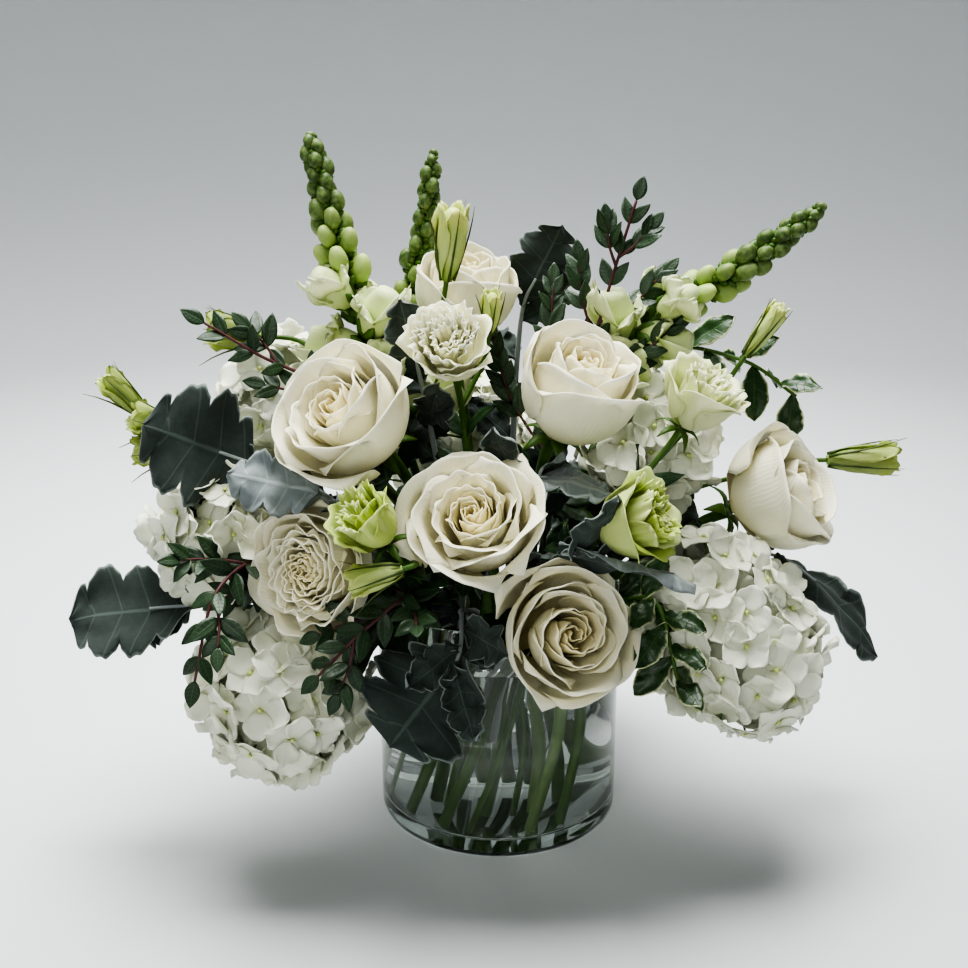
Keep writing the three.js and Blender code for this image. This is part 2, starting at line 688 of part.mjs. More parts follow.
function snapdragon(one) {
  const route = one.route.map(at);
  const { curve, body } = stalk(one, route, 5, 7);
  const pieces = [body];
  const draw = random(SEED + route.length);
  for (let i = 0; i < SPIKE_ITEMS; i++) {
    const share = i / (SPIKE_ITEMS - 1);
    const { point, along } = curve.onChord(mix(one.spike, 0.995, share));
    const angle = i * GOLDEN_ANGLE;
    const frame = aim(point, along, angle);
    if (share >= one.open[0] && share < one.open[1]) {
      const floret = lobedCone(11, 26, 0.7, 4);
      const outward = new THREE.Vector3(1, 0, 0.35);
      floret.applyMatrix4(aim(new THREE.Vector3(1, 0, 0), outward, draw() * Math.PI));
      pieces.push(solid(floret.applyMatrix4(frame)));
    } else {
      const size = mix(1, 0.42, share);
      const bud = new THREE.OctahedronGeometry(1);
      bud.scale(5.5 * size, 5.5 * size, 11 * size);
      bud.rotateY(mix(0.9, 0.35, share));
      bud.translate(mix(7, 2.4, share), 0, 3 * size);
      pieces.push(solid(bud.applyMatrix4(frame)));
    }
  }
  return join(pieces);
}

const LOBED = [
  [0.05, 0.1],
  [0.2, 0.62],
  [0.34, 0.68],
  [0.38, 0.42],
  [0.5, 0.95],
  [0.66, 1],
  [0.69, 0.55],
  [0.82, 0.8],
  [0.94, 0.42],
];

function dustyMiller(one) {
  const base = at(one.base);
  const along = at(one.tip).sub(base);
  const length = along.length();
  along.normalize();
  const shape = leafShape(length, one.width, LOBED);
  const leaf = leafGeometry(shape, length, one.arch);
  const up = at(one.over).projectOnPlane(along).normalize();
  const frame = new THREE.Matrix4().makeBasis(along, up.clone().cross(along), up).setPosition(base);
  const inside = base.clone().addScaledVector(along, 0.3 * length);
  const { body } = stalk(one, [...one.via.map(at), base, inside], 4, 5);
  return join([solid(leaf.applyMatrix4(frame)), body]);
}

const OVAL = [
  [0.3, 0.9],
  [0.72, 0.8],
];

// A flat leaf from a point on a stem, pointing along heading with its face towards up.
function stemLeaf(point, heading, up, length, halfWidth, outline, arch) {
  const leaf = leafGeometry(leafShape(length, halfWidth, outline), length, arch);
  leaf.translate(-LEAF_ROOT, 0, -LEAF / 2);
  const along = heading.clone().normalize();
  const face = up.clone().projectOnPlane(along).normalize();
  const frame = new THREE.Matrix4().makeBasis(along, face.clone().cross(along), face).setPosition(point);
  return solid(leaf.applyMatrix4(frame));
}

function eucalyptus(one) {
  const route = one.route.map(at);
  const { curve, body } = stalk(one, route, 3, 7);
  const pieces = [body];
  const front = at(TOWARD_FRONT);
  for (let i = 0; i < one.pairs; i++) {
    const share = (i + 0.3) / one.pairs;
    const { point, along } = curve.onChord(mix(one.shoot, 1, share));
    const side = front.clone().cross(along).normalize();
    side.applyAxisAngle(along, i % 2 ? 0.5 : -0.7);
    const length = one.leaf * mix(1, 0.7, share);
    for (const hand of [-1, 1]) {
      const heading = side.clone().multiplyScalar(hand).addScaledVector(along, 0.75);
      const root = point.clone().addScaledVector(along, hand);
      pieces.push(stemLeaf(root, heading, front, length, 0.24 * length, OVAL, 0.08));
    }
  }
  return join(pieces);
}

const WAVY = [
  [0.2, 0.6],
  [0.38, 0.86],
  [0.55, 0.94],
  [0.7, 0.98],
  [0.88, 0.6],
];

function pittosporum(one) {
  const route = one.route.map(at);
  const { curve, body } = stalk(one, route, 3, 6);
  const pieces = [body];
  for (let i = 0; i < one.leaves; i++) {
    const { point, along } = curve.onChord(mix(one.shoot, 0.99, i / (one.leaves - 1)));
    const side = at(TOWARD_FRONT).cross(along).normalize();
    side.applyAxisAngle(along, 2.2 * i);
    const heading = side.addScaledVector(along, 0.7);
    const up = new THREE.Vector3(0.1, -0.6, 0.8);
    pieces.push(stemLeaf(point, heading, up, one.leaf, 0.26 * one.leaf, WAVY, 0.2));
  }
  return join(pieces);
}

// ---- the vase and its water ----
function vase() {
  const outer = VASE_RADIUS;
  const inner = VASE_RADIUS - VASE_WALL;
  const profile = [
    [0, 0],
    [outer - VASE_EDGE, 0],
    [outer, VASE_EDGE],
    [outer, VASE_HEIGHT - VASE_EDGE / 2],
    [outer - VASE_WALL / 2, VASE_HEIGHT],
    [inner, VASE_HEIGHT - VASE_EDGE / 2],
    [inner, VASE_FLOOR],
    [0, VASE_FLOOR],
  ];
  const geometry = new THREE.LatheGeometry(profile.map(([x, y]) => new THREE.Vector2(x, y)), VASE_SIDES);
  return solid(geometry.rotateX(Math.PI / 2));
}

function waterBody(plants) {
  const radius = VASE_RADIUS - VASE_WALL - GAP;
  const depth = WATER_LEVEL - VASE_FLOOR - GAP;
  const geometry = new THREE.CylinderGeometry(radius, radius, depth, VASE_SIDES);
  geometry.rotateX(Math.PI / 2);
  geometry.translate(0, 0, VASE_FLOOR + GAP + depth / 2);
  return solid(geometry).subtract(join(plants.map((one) => one.hole)));
}

// ---- the scene graph ----
const arrangement = new THREE.Group();
const nodes = new Map();
const place = (name, body, material) => nodes.set(name, { body, material });

place("vase", vase(), glass);
for (const one of ROSES) {
  place(one.name, roseSolid(one), cream);
  place(`${one.name}_stem`, bloomStem(one), stemGreen);
}
for (const one of HYDRANGEAS) {
  const near = [...ROSES, ...BLOOMS, ...HYDRANGEAS].filter((other) => other !== one);
  place(one.name, hydrangeaSolid(one, near), white);
  place(`${one.name}_stem`, bloomStem(one), stemGreen);
}
for (const one of BLOOMS) {
  place(one.name, lisianthusSolid(one), limeWhite);
  place(`${one.name}_stem`, bloomStem(one, BUDS[one.name]), budGreen);
}
for (const one of BUD_PLANTS) place(one.name, budPlant(one), budGreen);
for (const one of SNAPDRAGONS) place(one.name, snapdragon(one), snapGreen);
for (const one of DUSTY) place(one.name, dustyMiller(one), feltGrey);
for (const one of SPRAYS) place(one.name, eucalyptus(one), leafGreen);
for (const one of PITTOSPORUM) place(one.name, pittosporum(one), variegated);
place("water", waterBody(PLANTS), water);

for (const [name, { body, material }] of nodes) arrangement.add(mesh(name, body, material));

export default arrangement;
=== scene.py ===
"""A floral table centerpiece: cream roses, white hydrangeas, snapdragons and lisianthus with
dusty miller, parvifolia eucalyptus and pittosporum, in a clear glass cylinder of water.

Shapes are worked out in millimetres, +Z up, origin at the middle of the vase's underside,
front to -Y, and each finished piece is turned to metres."""

import math
import random

import bmesh
import bpy
from bpy.props import FloatProperty, FloatVectorProperty, PointerProperty
from mathutils import Matrix, Vector, noise


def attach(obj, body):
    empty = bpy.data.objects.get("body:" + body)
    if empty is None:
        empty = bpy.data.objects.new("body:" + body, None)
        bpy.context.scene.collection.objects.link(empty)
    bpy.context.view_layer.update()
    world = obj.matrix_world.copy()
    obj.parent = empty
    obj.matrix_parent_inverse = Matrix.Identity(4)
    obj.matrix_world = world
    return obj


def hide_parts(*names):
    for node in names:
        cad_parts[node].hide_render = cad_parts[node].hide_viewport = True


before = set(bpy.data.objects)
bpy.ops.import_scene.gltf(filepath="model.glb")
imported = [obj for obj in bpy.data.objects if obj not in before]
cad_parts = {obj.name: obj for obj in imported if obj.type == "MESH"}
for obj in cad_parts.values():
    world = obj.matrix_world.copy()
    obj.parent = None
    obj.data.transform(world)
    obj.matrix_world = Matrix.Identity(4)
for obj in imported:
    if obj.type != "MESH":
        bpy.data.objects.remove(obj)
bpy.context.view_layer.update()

bl_info = {
    "name": "Floral table centerpiece",
    "version": (1, 0, 0),
    "blender": (4, 5, 0),
    "location": "View3D > Sidebar > Centerpiece",
    "description": "Builds a flower arrangement in a glass cylinder, kind by kind",
    "category": "Add Mesh",
}

MM = 0.001
GOLDEN_ANGLE = math.pi * (3 - math.sqrt(5))
SEED = 7
SENSOR_WIDTH = 36

# ---- the vase, in millimetres ----
VASE_RADIUS = 76
VASE_HEIGHT = 150
VASE_WALL = 4
VASE_FLOOR = 10
WATER_LEVEL = 119
FOOT_ROUNDING = 3.0
FLOOR_ROUNDING = 4.0
RAISED_UNDERSIDE = 1.2
MENISCUS = 1.8
GLASS_OVERLAP = 0.25

# ---- where stems stand: three rings with one twist, so that none crosses another ----
RINGS = {"outer": 61, "middle": 46, "inner": 30}
SPACING = {"outer": 10, "middle": 7, "inner": 9}
TWIST = math.radians(48)
SPREADING_ROUNDS = 300
SHORT_FOOT = 62
GAP = 0.3
LIP_CLEARANCE = 12
SIDE_STALK = 1.5
THICK = {
    "rose": 3.4,
    "hydrangea": 3.6,
    "lisianthus": 1.8,
    "snapdragon": 3.2,
    "dusty": 2.2,
    "eucalyptus": 1.4,
    "pittosporum": 1.8,
}


def plant(ring, place, facing=None, **more):
    """A plant's ring in the vase, the middle of its bloom and the way that opens."""
    return {"ring": ring, "place": place, "facing": facing, **more}


ROSES = {
    "rose_upper_left": plant(
        "inner", (-82, -75, 277), (-0.48, -0.56, 0.68), radius=41, height=60, petals=25,
        turn=2.6, open=0.92, ruffle=0.6, roll=0.17,
    ),
    "rose_centre": plant(
        "outer", (-13, -105, 226), (-0.15, -0.67, 0.73), radius=37, height=56, petals=28,
        turn=0.4, open=0.96, ruffle=0.7, roll=0.24,
    ),
    "rose_upper_right": plant(
        "inner", (41, -60, 289), (0.32, -0.35, 0.89), radius=37, height=66, petals=22, turn=1.2,
        open=0.86, ruffle=0.5, roll=0.15,
    ),
    "rose_low_front": plant(
        "outer", (33, -112, 166), (0.33, -0.86, 0.38), radius=39, height=54, petals=24,
        turn=3.4, open=0.98, ruffle=0.6, roll=0.15,
    ),
    "rose_left": plant(
        "outer", (-99, -95, 197), (-0.5, -0.8, 0.25), radius=38, height=44, petals=46, turn=0.9,
        open=0.98, ruffle=1.3, roll=0.12,
    ),
    "rose_back_top": plant(
        "inner", (-20, 25, 326), (0.1, -0.15, 0.98), radius=33, height=58, petals=19, turn=4.2,
        open=0.86, ruffle=0.5, roll=0.14,
    ),
    "rose_right": plant(
        "outer", (164, -22, 215), (0.8, -0.35, 0.45), radius=38, height=60, petals=22, turn=2.0,
        open=0.95, ruffle=0.6, roll=0.15,
    ),
    "rose_back": plant(
        "outer", (80, 84, 240), (0.45, 0.7, 0.5), radius=37, height=56, petals=24, turn=5.0,
        open=0.95, ruffle=0.6, roll=0.17,
    ),
}
HYDRANGEAS = {
    "hydrangea_low_left": plant(
        "outer", (-127, -75, 113), (-0.75, -0.45, -0.45), radius=49, height=98,
    ),
    "hydrangea_left": plant("outer", (-162, -38, 200), (-0.9, -0.25, 0.2), radius=41, height=80),
    "hydrangea_upper_left": plant(
        "inner", (-128, 28, 256), (-0.75, 0.15, 0.6), radius=42, height=80,
    ),
    "hydrangea_low_right": plant(
        "outer", (131, -62, 146), (0.62, -0.3, -0.72), radius=48, height=132,
    ),
    "hydrangea_upper_right": plant("inner", (88, 4, 239), (0.5, -0.3, 0.75), radius=40, height=76),
    "hydrangea_back": plant("outer", (-30, 100, 212), (-0.2, 0.85, 0.5), radius=50, height=96),
}
BLOOMS = {
    "lisianthus_centre": plant(
        "inner", (-28, -60, 315), (-0.1, -0.72, 0.68), radius=24, height=36, petals=24,
        lime=0.0, open=1.0,
    ),
    "lisianthus_left": plant(
        "outer", (-70, -126, 236), (-0.5, -0.45, 0.74), radius=18, height=38, petals=14,
        lime=0.95, open=0.95,
    ),
    "lisianthus_right": plant(
        "outer", (69, -112, 232), (0.8, -0.45, 0.4), radius=21, height=44, petals=22, lime=0.9,
        open=1.3,
    ),
    "lisianthus_upper_right": plant(
        "inner", (110, -58, 284), (0.4, -0.3, 0.87), radius=21, height=40, petals=20, lime=0.45,
        open=1.25, via=[(70, -52, 222)],
    ),
}
# Buds: base, tip, radius. The first bud of a plant with no open bloom ends its stem.
BUDS = {
    "lisianthus_centre": [
        ((-31, -10, 342), (-26, -12, 388), 10),
        ((-7, -28, 314), (-4, -34, 342), 6),
    ],
    "lisianthus_left": [((-52, -130, 212), (-82, -137, 205), 8)],
    "lisianthus_upper_right": [((142, -20, 300), (162, -22, 332), 6)],
    "lisianthus_far_right": [((203, 15, 226), (250, 14, 228), 10)],
    "lisianthus_far_left": [
        ((-214, 8, 256), (-240, 6, 284), 8),
        ((-196, 0, 250), (-222, -8, 262), 10),
        ((-192, -4, 238), (-222, -12, 240), 9),
    ],
    "lisianthus_upper_left": [((-142, 6, 306), (-176, 2, 312), 11)],
}
BUD_PLANTS = {
    "lisianthus_far_right": plant("middle", (203, 15, 226), via=[(105, 38, 190), (160, 28, 214)]),
    "lisianthus_far_left": plant("middle", (-196, 20, 240), via=[]),
    "lisianthus_upper_left": plant("inner", (-142, -22, 306), via=[(-74, -15, 258)]),
}
SNAPDRAGONS = {
    "snapdragon_left": plant(
        "inner", (-60, 6, 250), open=0.5, spike=0.4, florets=8, buds=30,
        route=[(-60, 0, 250), (-78, 2, 300), (-97, 10, 365), (-110, 18, 421)],
    ),
    "snapdragon_middle": plant(
        "inner", (-40, 42, 260), open=0.0, spike=0.46, florets=0, buds=38,
        route=[(-46, 46, 250), (-56, 60, 305), (-46, 62, 362), (-41, 64, 407)],
    ),
    "snapdragon_right": plant(
        "inner", (60, 20, 250), open=0.46, spike=0.4, florets=8, buds=31,
        route=[(42, 18, 240), (78, 16, 302), (140, 11, 345), (187, 8, 381)],
    ),
}
DUSTY = {
    "dusty_miller_far_left": plant(
        "middle", (-150, -61, 154), via=[(-90, -36, 166), (-140, -54, 158)],
        base=(-184, -59, 160), tip=(-254, -62, 156), over=(-0.1, -0.65, 0.75), width=30,
        arch=0.12,
    ),
    "dusty_miller_upper_left": plant(
        "middle", (-120, -40, 228), via=[(-108, -30, 222)], base=(-143, -50, 245),
        tip=(-198, -66, 272), over=(-0.3, -0.85, 0.4), width=34, arch=0.05,
    ),
    "dusty_miller_grey_left": plant(
        "middle", (-80, -50, 215), via=[], base=(-103, -93, 243), tip=(-148, -94, 252),
        over=(0, 0.8, -0.6), width=18, arch=0.05,
    ),
    "dusty_miller_far_right": plant(
        "middle", (120, 0, 170), via=[(104, 24, 168)], base=(176, 0, 167), tip=(246, -24, 124),
        over=(0.5, -0.5, 0.7), width=17, arch=0.25,
    ),
    "dusty_miller_front": plant(
        "middle", (-25, -80, 165), via=[(-22, -82, 166)], base=(-24, -110, 150),
        tip=(-62, -128, 105), over=(-0.1, -0.95, 0.3), width=36, arch=0.05,
    ),
    "dusty_miller_back_top": plant(
        "inner", (10, 45, 300), via=[(12, 44, 290)], base=(16, 46, 320), tip=(38, 42, 366),
        over=(0.1, -0.95, 0.2), width=20, arch=0.05,
    ),
    "dusty_miller_middle": plant(
        "middle", (15, -60, 225), via=[(10, -52, 215)], base=(12, -74, 244), tip=(58, -92, 250),
        over=(-0.1, 0.1, -1.0), width=19, arch=-0.2,
    ),
    "dusty_miller_curled": plant(
        "middle", (40, -75, 195), via=[(22, -80, 196)], base=(34, -113, 214),
        tip=(104, -124, 205), over=(0, -0.4, -0.9), width=15, arch=-0.1,
    ),
    "dusty_miller_inner_left": plant(
        "inner", (-50, -20, 270), via=[], base=(-46, -30, 290), tip=(-56, -38, 336),
        over=(0.2, -0.95, 0.1), width=15, arch=0.05,
    ),
    "dusty_miller_back": plant(
        "middle", (40, 90, 180), via=[(32, 84, 176)], base=(40, 112, 176), tip=(58, 160, 136),
        over=(0.1, 0.7, 0.7), width=30, arch=0.15,
    ),
}
SPRAYS = {
    "eucalyptus_low_left": plant(
        "middle", (-120, -87, 180), leaf=22, shoot=0.3, pairs=8, upright=1,
        twigs=[(0.5, -1, 42), (0.62, 1, 40), (0.78, -1, 30)],
        route=[(-96, -56, 188), (-134, -70, 195), (-155, -110, 190), (-166, -128, 146)],
    ),
    "eucalyptus_front": plant(
        "middle", (-66, -88, 180), leaf=21, shoot=0.3, pairs=8, upright=1,
        twigs=[(0.42, 1, 32), (0.55, -1, 36), (0.7, 1, 36), (0.82, -1, 30)],
        route=[(-48, -76, 172), (-54, -114, 188), (-76, -130, 174), (-98, -134, 152)],
    ),
    "eucalyptus_upper_left": plant(
        "inner", (-100, -36, 270), leaf=22, shoot=0.35, pairs=8, upright=1,
        twigs=[(0.5, 1, 40), (0.66, -1, 36), (0.8, 1, 26)],
        route=[(-60, -30, 240), (-104, -24, 284), (-138, -26, 302), (-168, -30, 322)],
    ),
    "eucalyptus_upper_right": plant(
        "inner", (60, 20, 300), leaf=21, shoot=0.3, pairs=9, upright=2,
        twigs=[
            (0.34, -1, 85), (0.4, 1, 80), (0.48, -1, 74), (0.53, 1, 70), (0.66, -1, 46),
            (0.7, 1, 50), (0.86, 1, 24), (0.84, -1, 24),
        ],
        route=[(30, 2, 240), (54, 2, 300), (67, 6, 345), (79, 8, 386)],
    ),
}
PITTOSPORUM = {
    "pittosporum_low": plant(
        "middle", (60, -90, 180), leaf=30, shoot=0.45, leaves=13,
        route=[(67, -75, 170), (86, -95, 178), (97, -121, 142)],
    ),
    "pittosporum_right": plant(
        "inner", (60, 62, 265), leaf=33, shoot=0.5, leaves=14,
        route=[(30, 38, 225), (84, 47, 288), (150, 30, 286), (184, 26, 264)],
    ),
}
SHORT = {**BUD_PLANTS, **DUSTY, **SPRAYS, **PITTOSPORUM}
# In the order in which the stems were given their places in the vase.
PLANTS = {
    **ROSES, **HYDRANGEAS, **BLOOMS, **BUD_PLANTS, **SNAPDRAGONS, **DUSTY, **SPRAYS, **PITTOSPORUM
}


# ---- counts and limits of what repeats ----
ROSE_CUP = 7  # broad outer petals of a rose
LISIANTHUS_CUP = 6  # smooth outer petals of a double lisianthus
FLORETS = 62  # on a round hydrangea head of the usual radius
USUAL_HEAD = 42
CORE_BRANCHES = 9
LOBES = 3.3  # on each side of a dusty miller leaf
SMALL_LEAVES = 5  # low on a dusty miller stalk
YOUNG_LEAF = 1.7  # how much lighter than a grown leaf
SHARPEST_CORNER = 1.5  # how far a blade's inner corner may be thrown, in thicknesses
FRONT = Vector((0, -0.8, 0.6))  # the side to which sprays show their leaves


# ---- small tools ----
def mix(a, b, share):
    return a + (b - a) * share


def smooth(low, high, value):
    share = min(1, max(0, (value - low) / (high - low)))
    return share * share * (3 - 2 * share)


def linear(code):
    """An sRGB hex colour as linear RGBA."""
    parts = [int(code[i : i + 2], 16) / 255 for i in (0, 2, 4)]
    return [c / 12.92 if c <= 0.04045 else ((c + 0.055) / 1.055) ** 2.4 for c in parts] + [1]


def aim(place, direction, turn=0.0):
    """Stands local +Z along a direction at a place, turned about it."""
    toward = Vector((0, 0, 1)).rotation_difference(Vector(direction))
    return Matrix.Translation(place) @ toward.to_matrix().to_4x4() @ Matrix.Rotation(turn, 4, "Z")


def lay(place, along, up):
    """Lays local +X along a direction at a place, with local +Z as near to up as it can be."""
    x = Vector(along).normalized()
    z = Vector(up) - x * x.dot(Vector(up))
    z.normalize()
    y = z.cross(x)
    return Matrix.Translation(place) @ Matrix((x, y, z)).transposed().to_4x4()


def around(place, way, out, height):
    """A point beside the axis of a place: out from it at an angle, at a height along it."""
    return place @ Vector((out * math.cos(way), out * math.sin(way), height))


def colors(*codes):
    """Colours as lists: each a hex code or a setting."""
    return [linear(code) if isinstance(code, str) else list(code) for code in codes]


def add_object(name, data):
    made = bpy.data.objects.new(name, data)
    bpy.context.scene.collection.objects.link(made)
    return made


def mesh_object(bm, name, materials):
    """Turns a smooth mesh in millimetres into an object in metres."""
    bmesh.ops.scale(bm, vec=(MM, MM, MM), verts=bm.verts)
    for face in bm.faces:
        face.smooth = True
    shape = bpy.data.meshes.new(name)
    bm.to_mesh(shape)
    bm.free()
    for material in materials:
        shape.materials.append(material)
    return add_object(name, shape)


def neck_of(one, below=0.0):
    """Where a bloom meets its stem: its underside, on its axis."""
    return Vector(one["place"]) - Vector(one["facing"]).normalized() * (one["height"] / 2 + below)


# ---- stems ----
def ring_slots():
    """The angle at the vase's mouth of each stem, pushed apart along its ring as it stands."""
    slots = {}
    for ring, radius in RINGS.items():
        pitch = SPACING[ring] / (radius * math.cos(TWIST / 2))
        members = sorted(
            [math.atan2(one["place"][1], one["place"][0]), name]
            for name, one in PLANTS.items()
            if one["ring"] == ring
        )
        for _ in range(SPREADING_ROUNDS):
            for i, here in enumerate(members):
                after = members[(i + 1) % len(members)]
                turn = 2 * math.pi if i + 1 == len(members) else 0
                lack = pitch - (after[0] + turn - here[0])
                if lack > 0:
                    here[0] -= lack / 2
                    after[0] += lack / 2
        slots.update({name: angle for angle, name in members})
    return slots


SLOTS = ring_slots()


def smooth_line(points, per_span=8):
    """Points on the centripetal curve through the given points."""
    first = points[0] * 2 - points[1]
    last = points[-1] * 2 - points[-2]
    knots = [first, *points, last]
    line = [points[0].copy()]
    for i in range(1, len(knots) - 2):
        a, b, c, d = knots[i - 1 : i + 3]
        gaps = [max((q - p).length ** 0.5, 1e-4) for p, q in ((a, b), (b, c), (c, d))]
        into = ((b - a) / gaps[0] - (c - a) / (gaps[0] + gaps[1]) + (c - b) / gaps[1]) * gaps[1]
        out = ((c - b) / gaps[1] - (d - b) / (gaps[1] + gaps[2]) + (d - c) / gaps[2]) * gaps[1]
        for step in range(1, per_span + 1):
            t = step / per_span
            line.append(
                b * (2 * t**3 - 3 * t**2 + 1)
                + into * (t**3 - 2 * t**2 + t)
                + c * (3 * t**2 - 2 * t**3)
                + out * (t**3 - t**2)
            )
    return line


class Twig:
    """A line that leaves and florets are set along."""

    def __init__(self, points):
        self.bend = smooth_line([Vector(p) for p in points])
        self.runs = [0.0]
        for p, q in zip(self.bend, self.bend[1:]):
            self.runs.append(self.runs[-1] + (q - p).length)

    def at(self, share):
        """The point at a share of the line's length, and the way it goes there."""
        reach = share * self.runs[-1]
        i = next((k for k, run in enumerate(self.runs[1:]) if run >= reach), len(self.bend) - 2)
        here, after = self.bend[i], self.bend[i + 1]
        part = (reach - self.runs[i]) / max(1e-6, self.runs[i + 1] - self.runs[i])
        return here.lerp(after, min(1, part)), (after - here).normalized()


class Stem(Twig):
    """A stem: straight from its cut foot to the vase's mouth, then bent on through points."""

    def __init__(self, name, beyond):
        one = PLANTS[name]
        angle = SLOTS[name]
        radius = RINGS[one["ring"]]
        self.thick = THICK[name.split("_")[0]]
        lean = math.atan(2 * radius * math.sin(TWIST / 2) / (VASE_HEIGHT - VASE_FLOOR))
        foot = Vector((
            radius * math.cos(angle - TWIST),
            radius * math.sin(angle - TWIST),
            VASE_FLOOR + GAP + self.thick * math.sin(lean),
        ))
        mouth = Vector((radius * math.cos(angle), radius * math.sin(angle), VASE_HEIGHT))
        if name in SHORT:
            foot = foot.lerp(mouth, (SHORT_FOOT - VASE_FLOOR) / (VASE_HEIGHT - VASE_FLOOR))
        points = [mouth]
        end = Vector(beyond[0])
        if end.z < VASE_HEIGHT + 3 * LIP_CLEARANCE and end.xy.length > VASE_RADIUS:
            out = VASE_RADIUS / radius
            points.append(Vector((mouth.x * out, mouth.y * out, VASE_HEIGHT + LIP_CLEARANCE)))
        self.foot = foot
        super().__init__([*points, *beyond])

    def draw(self, piece, material=0, taper=1.0, sides=10):
        """Draws the stem into a piece, thinner to its top by the taper."""
        line = [self.foot, self.foot.lerp(self.bend[0], 0.5), *self.bend]
        last = len(line) - 1
        radii = [self.thick * mix(1, taper, i / last) for i in range(last + 1)]
        piece.tube(line, radii, sides=sides, material=material)


# ---- a piece of the scene ----
class Piece:
    """A mesh in millimetres, made of blades, tubes and eggs, that becomes one object."""

    def __init__(self, name, *materials):
        self.name = name
        self.materials = materials
        self.bm = bmesh.new()
        layers = self.bm.verts.layers.float
        self.along = layers.new("along")
        self.across = layers.new("across")
        self.tint = layers.new("tint")
        self.blades = []
        self.solids = []

    def mark(self, verts, material, tint):
        faces = {face for vert in verts for face in vert.link_faces}
        for face in faces:
            face.material_index = material
        for vert in verts:
            vert[self.tint] = tint
        return faces

    def blade(self, columns, rows, point, material=0, tint=0.5):
        """A thin sheet: point(across from -1 to 1, along from 0 to 1)."""
        verts = bmesh.ops.create_grid(
            self.bm, x_segments=columns, y_segments=rows, size=0.5
        )["verts"]
        for vert in verts:
            across, along = 2 * vert.co.x, vert.co.y + 0.5
            vert[self.along] = along
            vert[self.across] = across
            vert.co = point(across, along)
        self.blades.extend(self.mark(verts, material, tint))

    def egg(self, segments, rings, point, material=0, tint=0.5):
        """A closed round body: point(angle, along from 0 at its base to 1 at its tip)."""
        verts = bmesh.ops.create_uvsphere(
            self.bm, u_segments=segments, v_segments=rings, radius=1
        )["verts"]
        for vert in verts:
            angle = math.atan2(vert.co.y, vert.co.x)
            along = (1 + max(-1, min(1, vert.co.z))) / 2
            vert[self.along] = along
            vert[self.across] = angle / math.pi
            vert.co = point(angle, along)
        self.solids.extend(self.mark(verts, material, tint))

    def tube(self, points, radii, sides=8, material=0, tint=0.5):
        """A round section drawn through points, its ends closed."""
        ways = [
            (points[min(i + 1, len(points) - 1)] - points[max(i - 1, 0)]).normalized()
            for i in range(len(points))
        ]
        turn = Vector((0, 0, 1)).rotation_difference(ways[0])
        frames = []
        for i, (point, radius) in enumerate(zip(points, radii)):
            if i:
                turn = ways[i - 1].rotation_difference(ways[i]) @ turn
            frames.append(Matrix.LocRotScale(point, turn, Vector((radius, radius, radius))))
        ring = bmesh.ops.create_circle(
            self.bm, cap_ends=True, segments=sides, radius=1, matrix=frames[0]
        )["verts"]
        edges = list({edge for vert in ring for edge in vert.link_edges})
        verts = list(ring)
        for i in range(1, len(frames)):
            made = bmesh.ops.extrude_edge_only(self.bm, edges=edges)["geom"]
            edges = [item for item in made if isinstance(item, bmesh.types.BMEdge)]
            ring = [item for item in made if isinstance(item, bmesh.types.BMVert)]
            bmesh.ops.transform(self.bm, matrix=frames[i] @ frames[i - 1].inverted(), verts=ring)
            for vert in ring:
                vert[self.along] = i / (len(frames) - 1)
            verts.extend(ring)
        bmesh.ops.edgeloop_fill(self.bm, edges=edges)
        self.solids.extend(self.mark(verts, material, tint))

    def finish(self, nodes, thickness=0.0, under=None):
        """Makes the object: it rides on the frame and stands for the nodes it replaces. Blades
        get a thickness, and their undersides the material that under gives for the upper."""
        bmesh.ops.recalc_face_normals(self.bm, faces=self.solids)
        if self.blades:
            home = self.bm.verts.layers.float_vector.new("home")
            for vert in self.bm.verts:
                vert[home] = vert.co
            made = bmesh.ops.solidify(self.bm, geom=self.blades, thickness=thickness)["geom"]
            for item in made:
                if under and isinstance(item, bmesh.types.BMFace):
                    item.material_index = under.get(item.material_index, item.material_index)
                if isinstance(item, bmesh.types.BMVert):
                    # A sharp tip would throw its inner corner far out.
                    inward = item.co - item[home]
                    if inward.length > SHARPEST_CORNER * thickness:
                        item.co = item[home] + inward.normalized() * SHARPEST_CORNER * thickness
            self.bm.verts.layers.float_vector.remove(home)
        piece = mesh_object(self.bm, self.name, self.materials)
        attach(piece, "root")
        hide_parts(*nodes)


# ---- materials ----
def add_node(tree, kind, links=None, values=None, stops=None, **settings):
    """Adds a node with its settings, socket values, colour stops and links."""
    made = tree.nodes.new(kind)
    for key, value in settings.items():
        setattr(made, key, value)
    for socket, value in (values or {}).items():
        made.inputs[socket].default_value = value
    for socket, source in (links or {}).items():
        tree.links.new(source, made.inputs[socket])
    if stops:
        ramp = made.color_ramp
        while len(ramp.elements) < len(stops):
            ramp.elements.new(0.5)
        for element, (position, color) in zip(ramp.elements, stops):
            element.position = position
            element.color = color
    return made


def start_material(name, **values):
    """A material with its shader's own sockets set: words joined by _ name each socket."""
    made = bpy.data.materials.new(name)
    made.use_nodes = True
    shader = made.node_tree.nodes["Principled BSDF"]
    for key, value in values.items():
        shader.inputs[key.replace("_", " ")].default_value = value
    return made, made.node_tree, shader


def attribute(tree, name):
    """What a piece says of itself at a point: how far along or across it is, or its tint."""
    return add_node(tree, "ShaderNodeAttribute", attribute_name=name).outputs["Fac"]


def grain_of(tree, **values):
    """Noise that is fixed to the object, its scale in turns a metre."""
    place = add_node(tree, "ShaderNodeTexCoord").outputs["Object"]
    return add_node(tree, "ShaderNodeTexNoise", {"Vector": place}, values).outputs["Fac"]


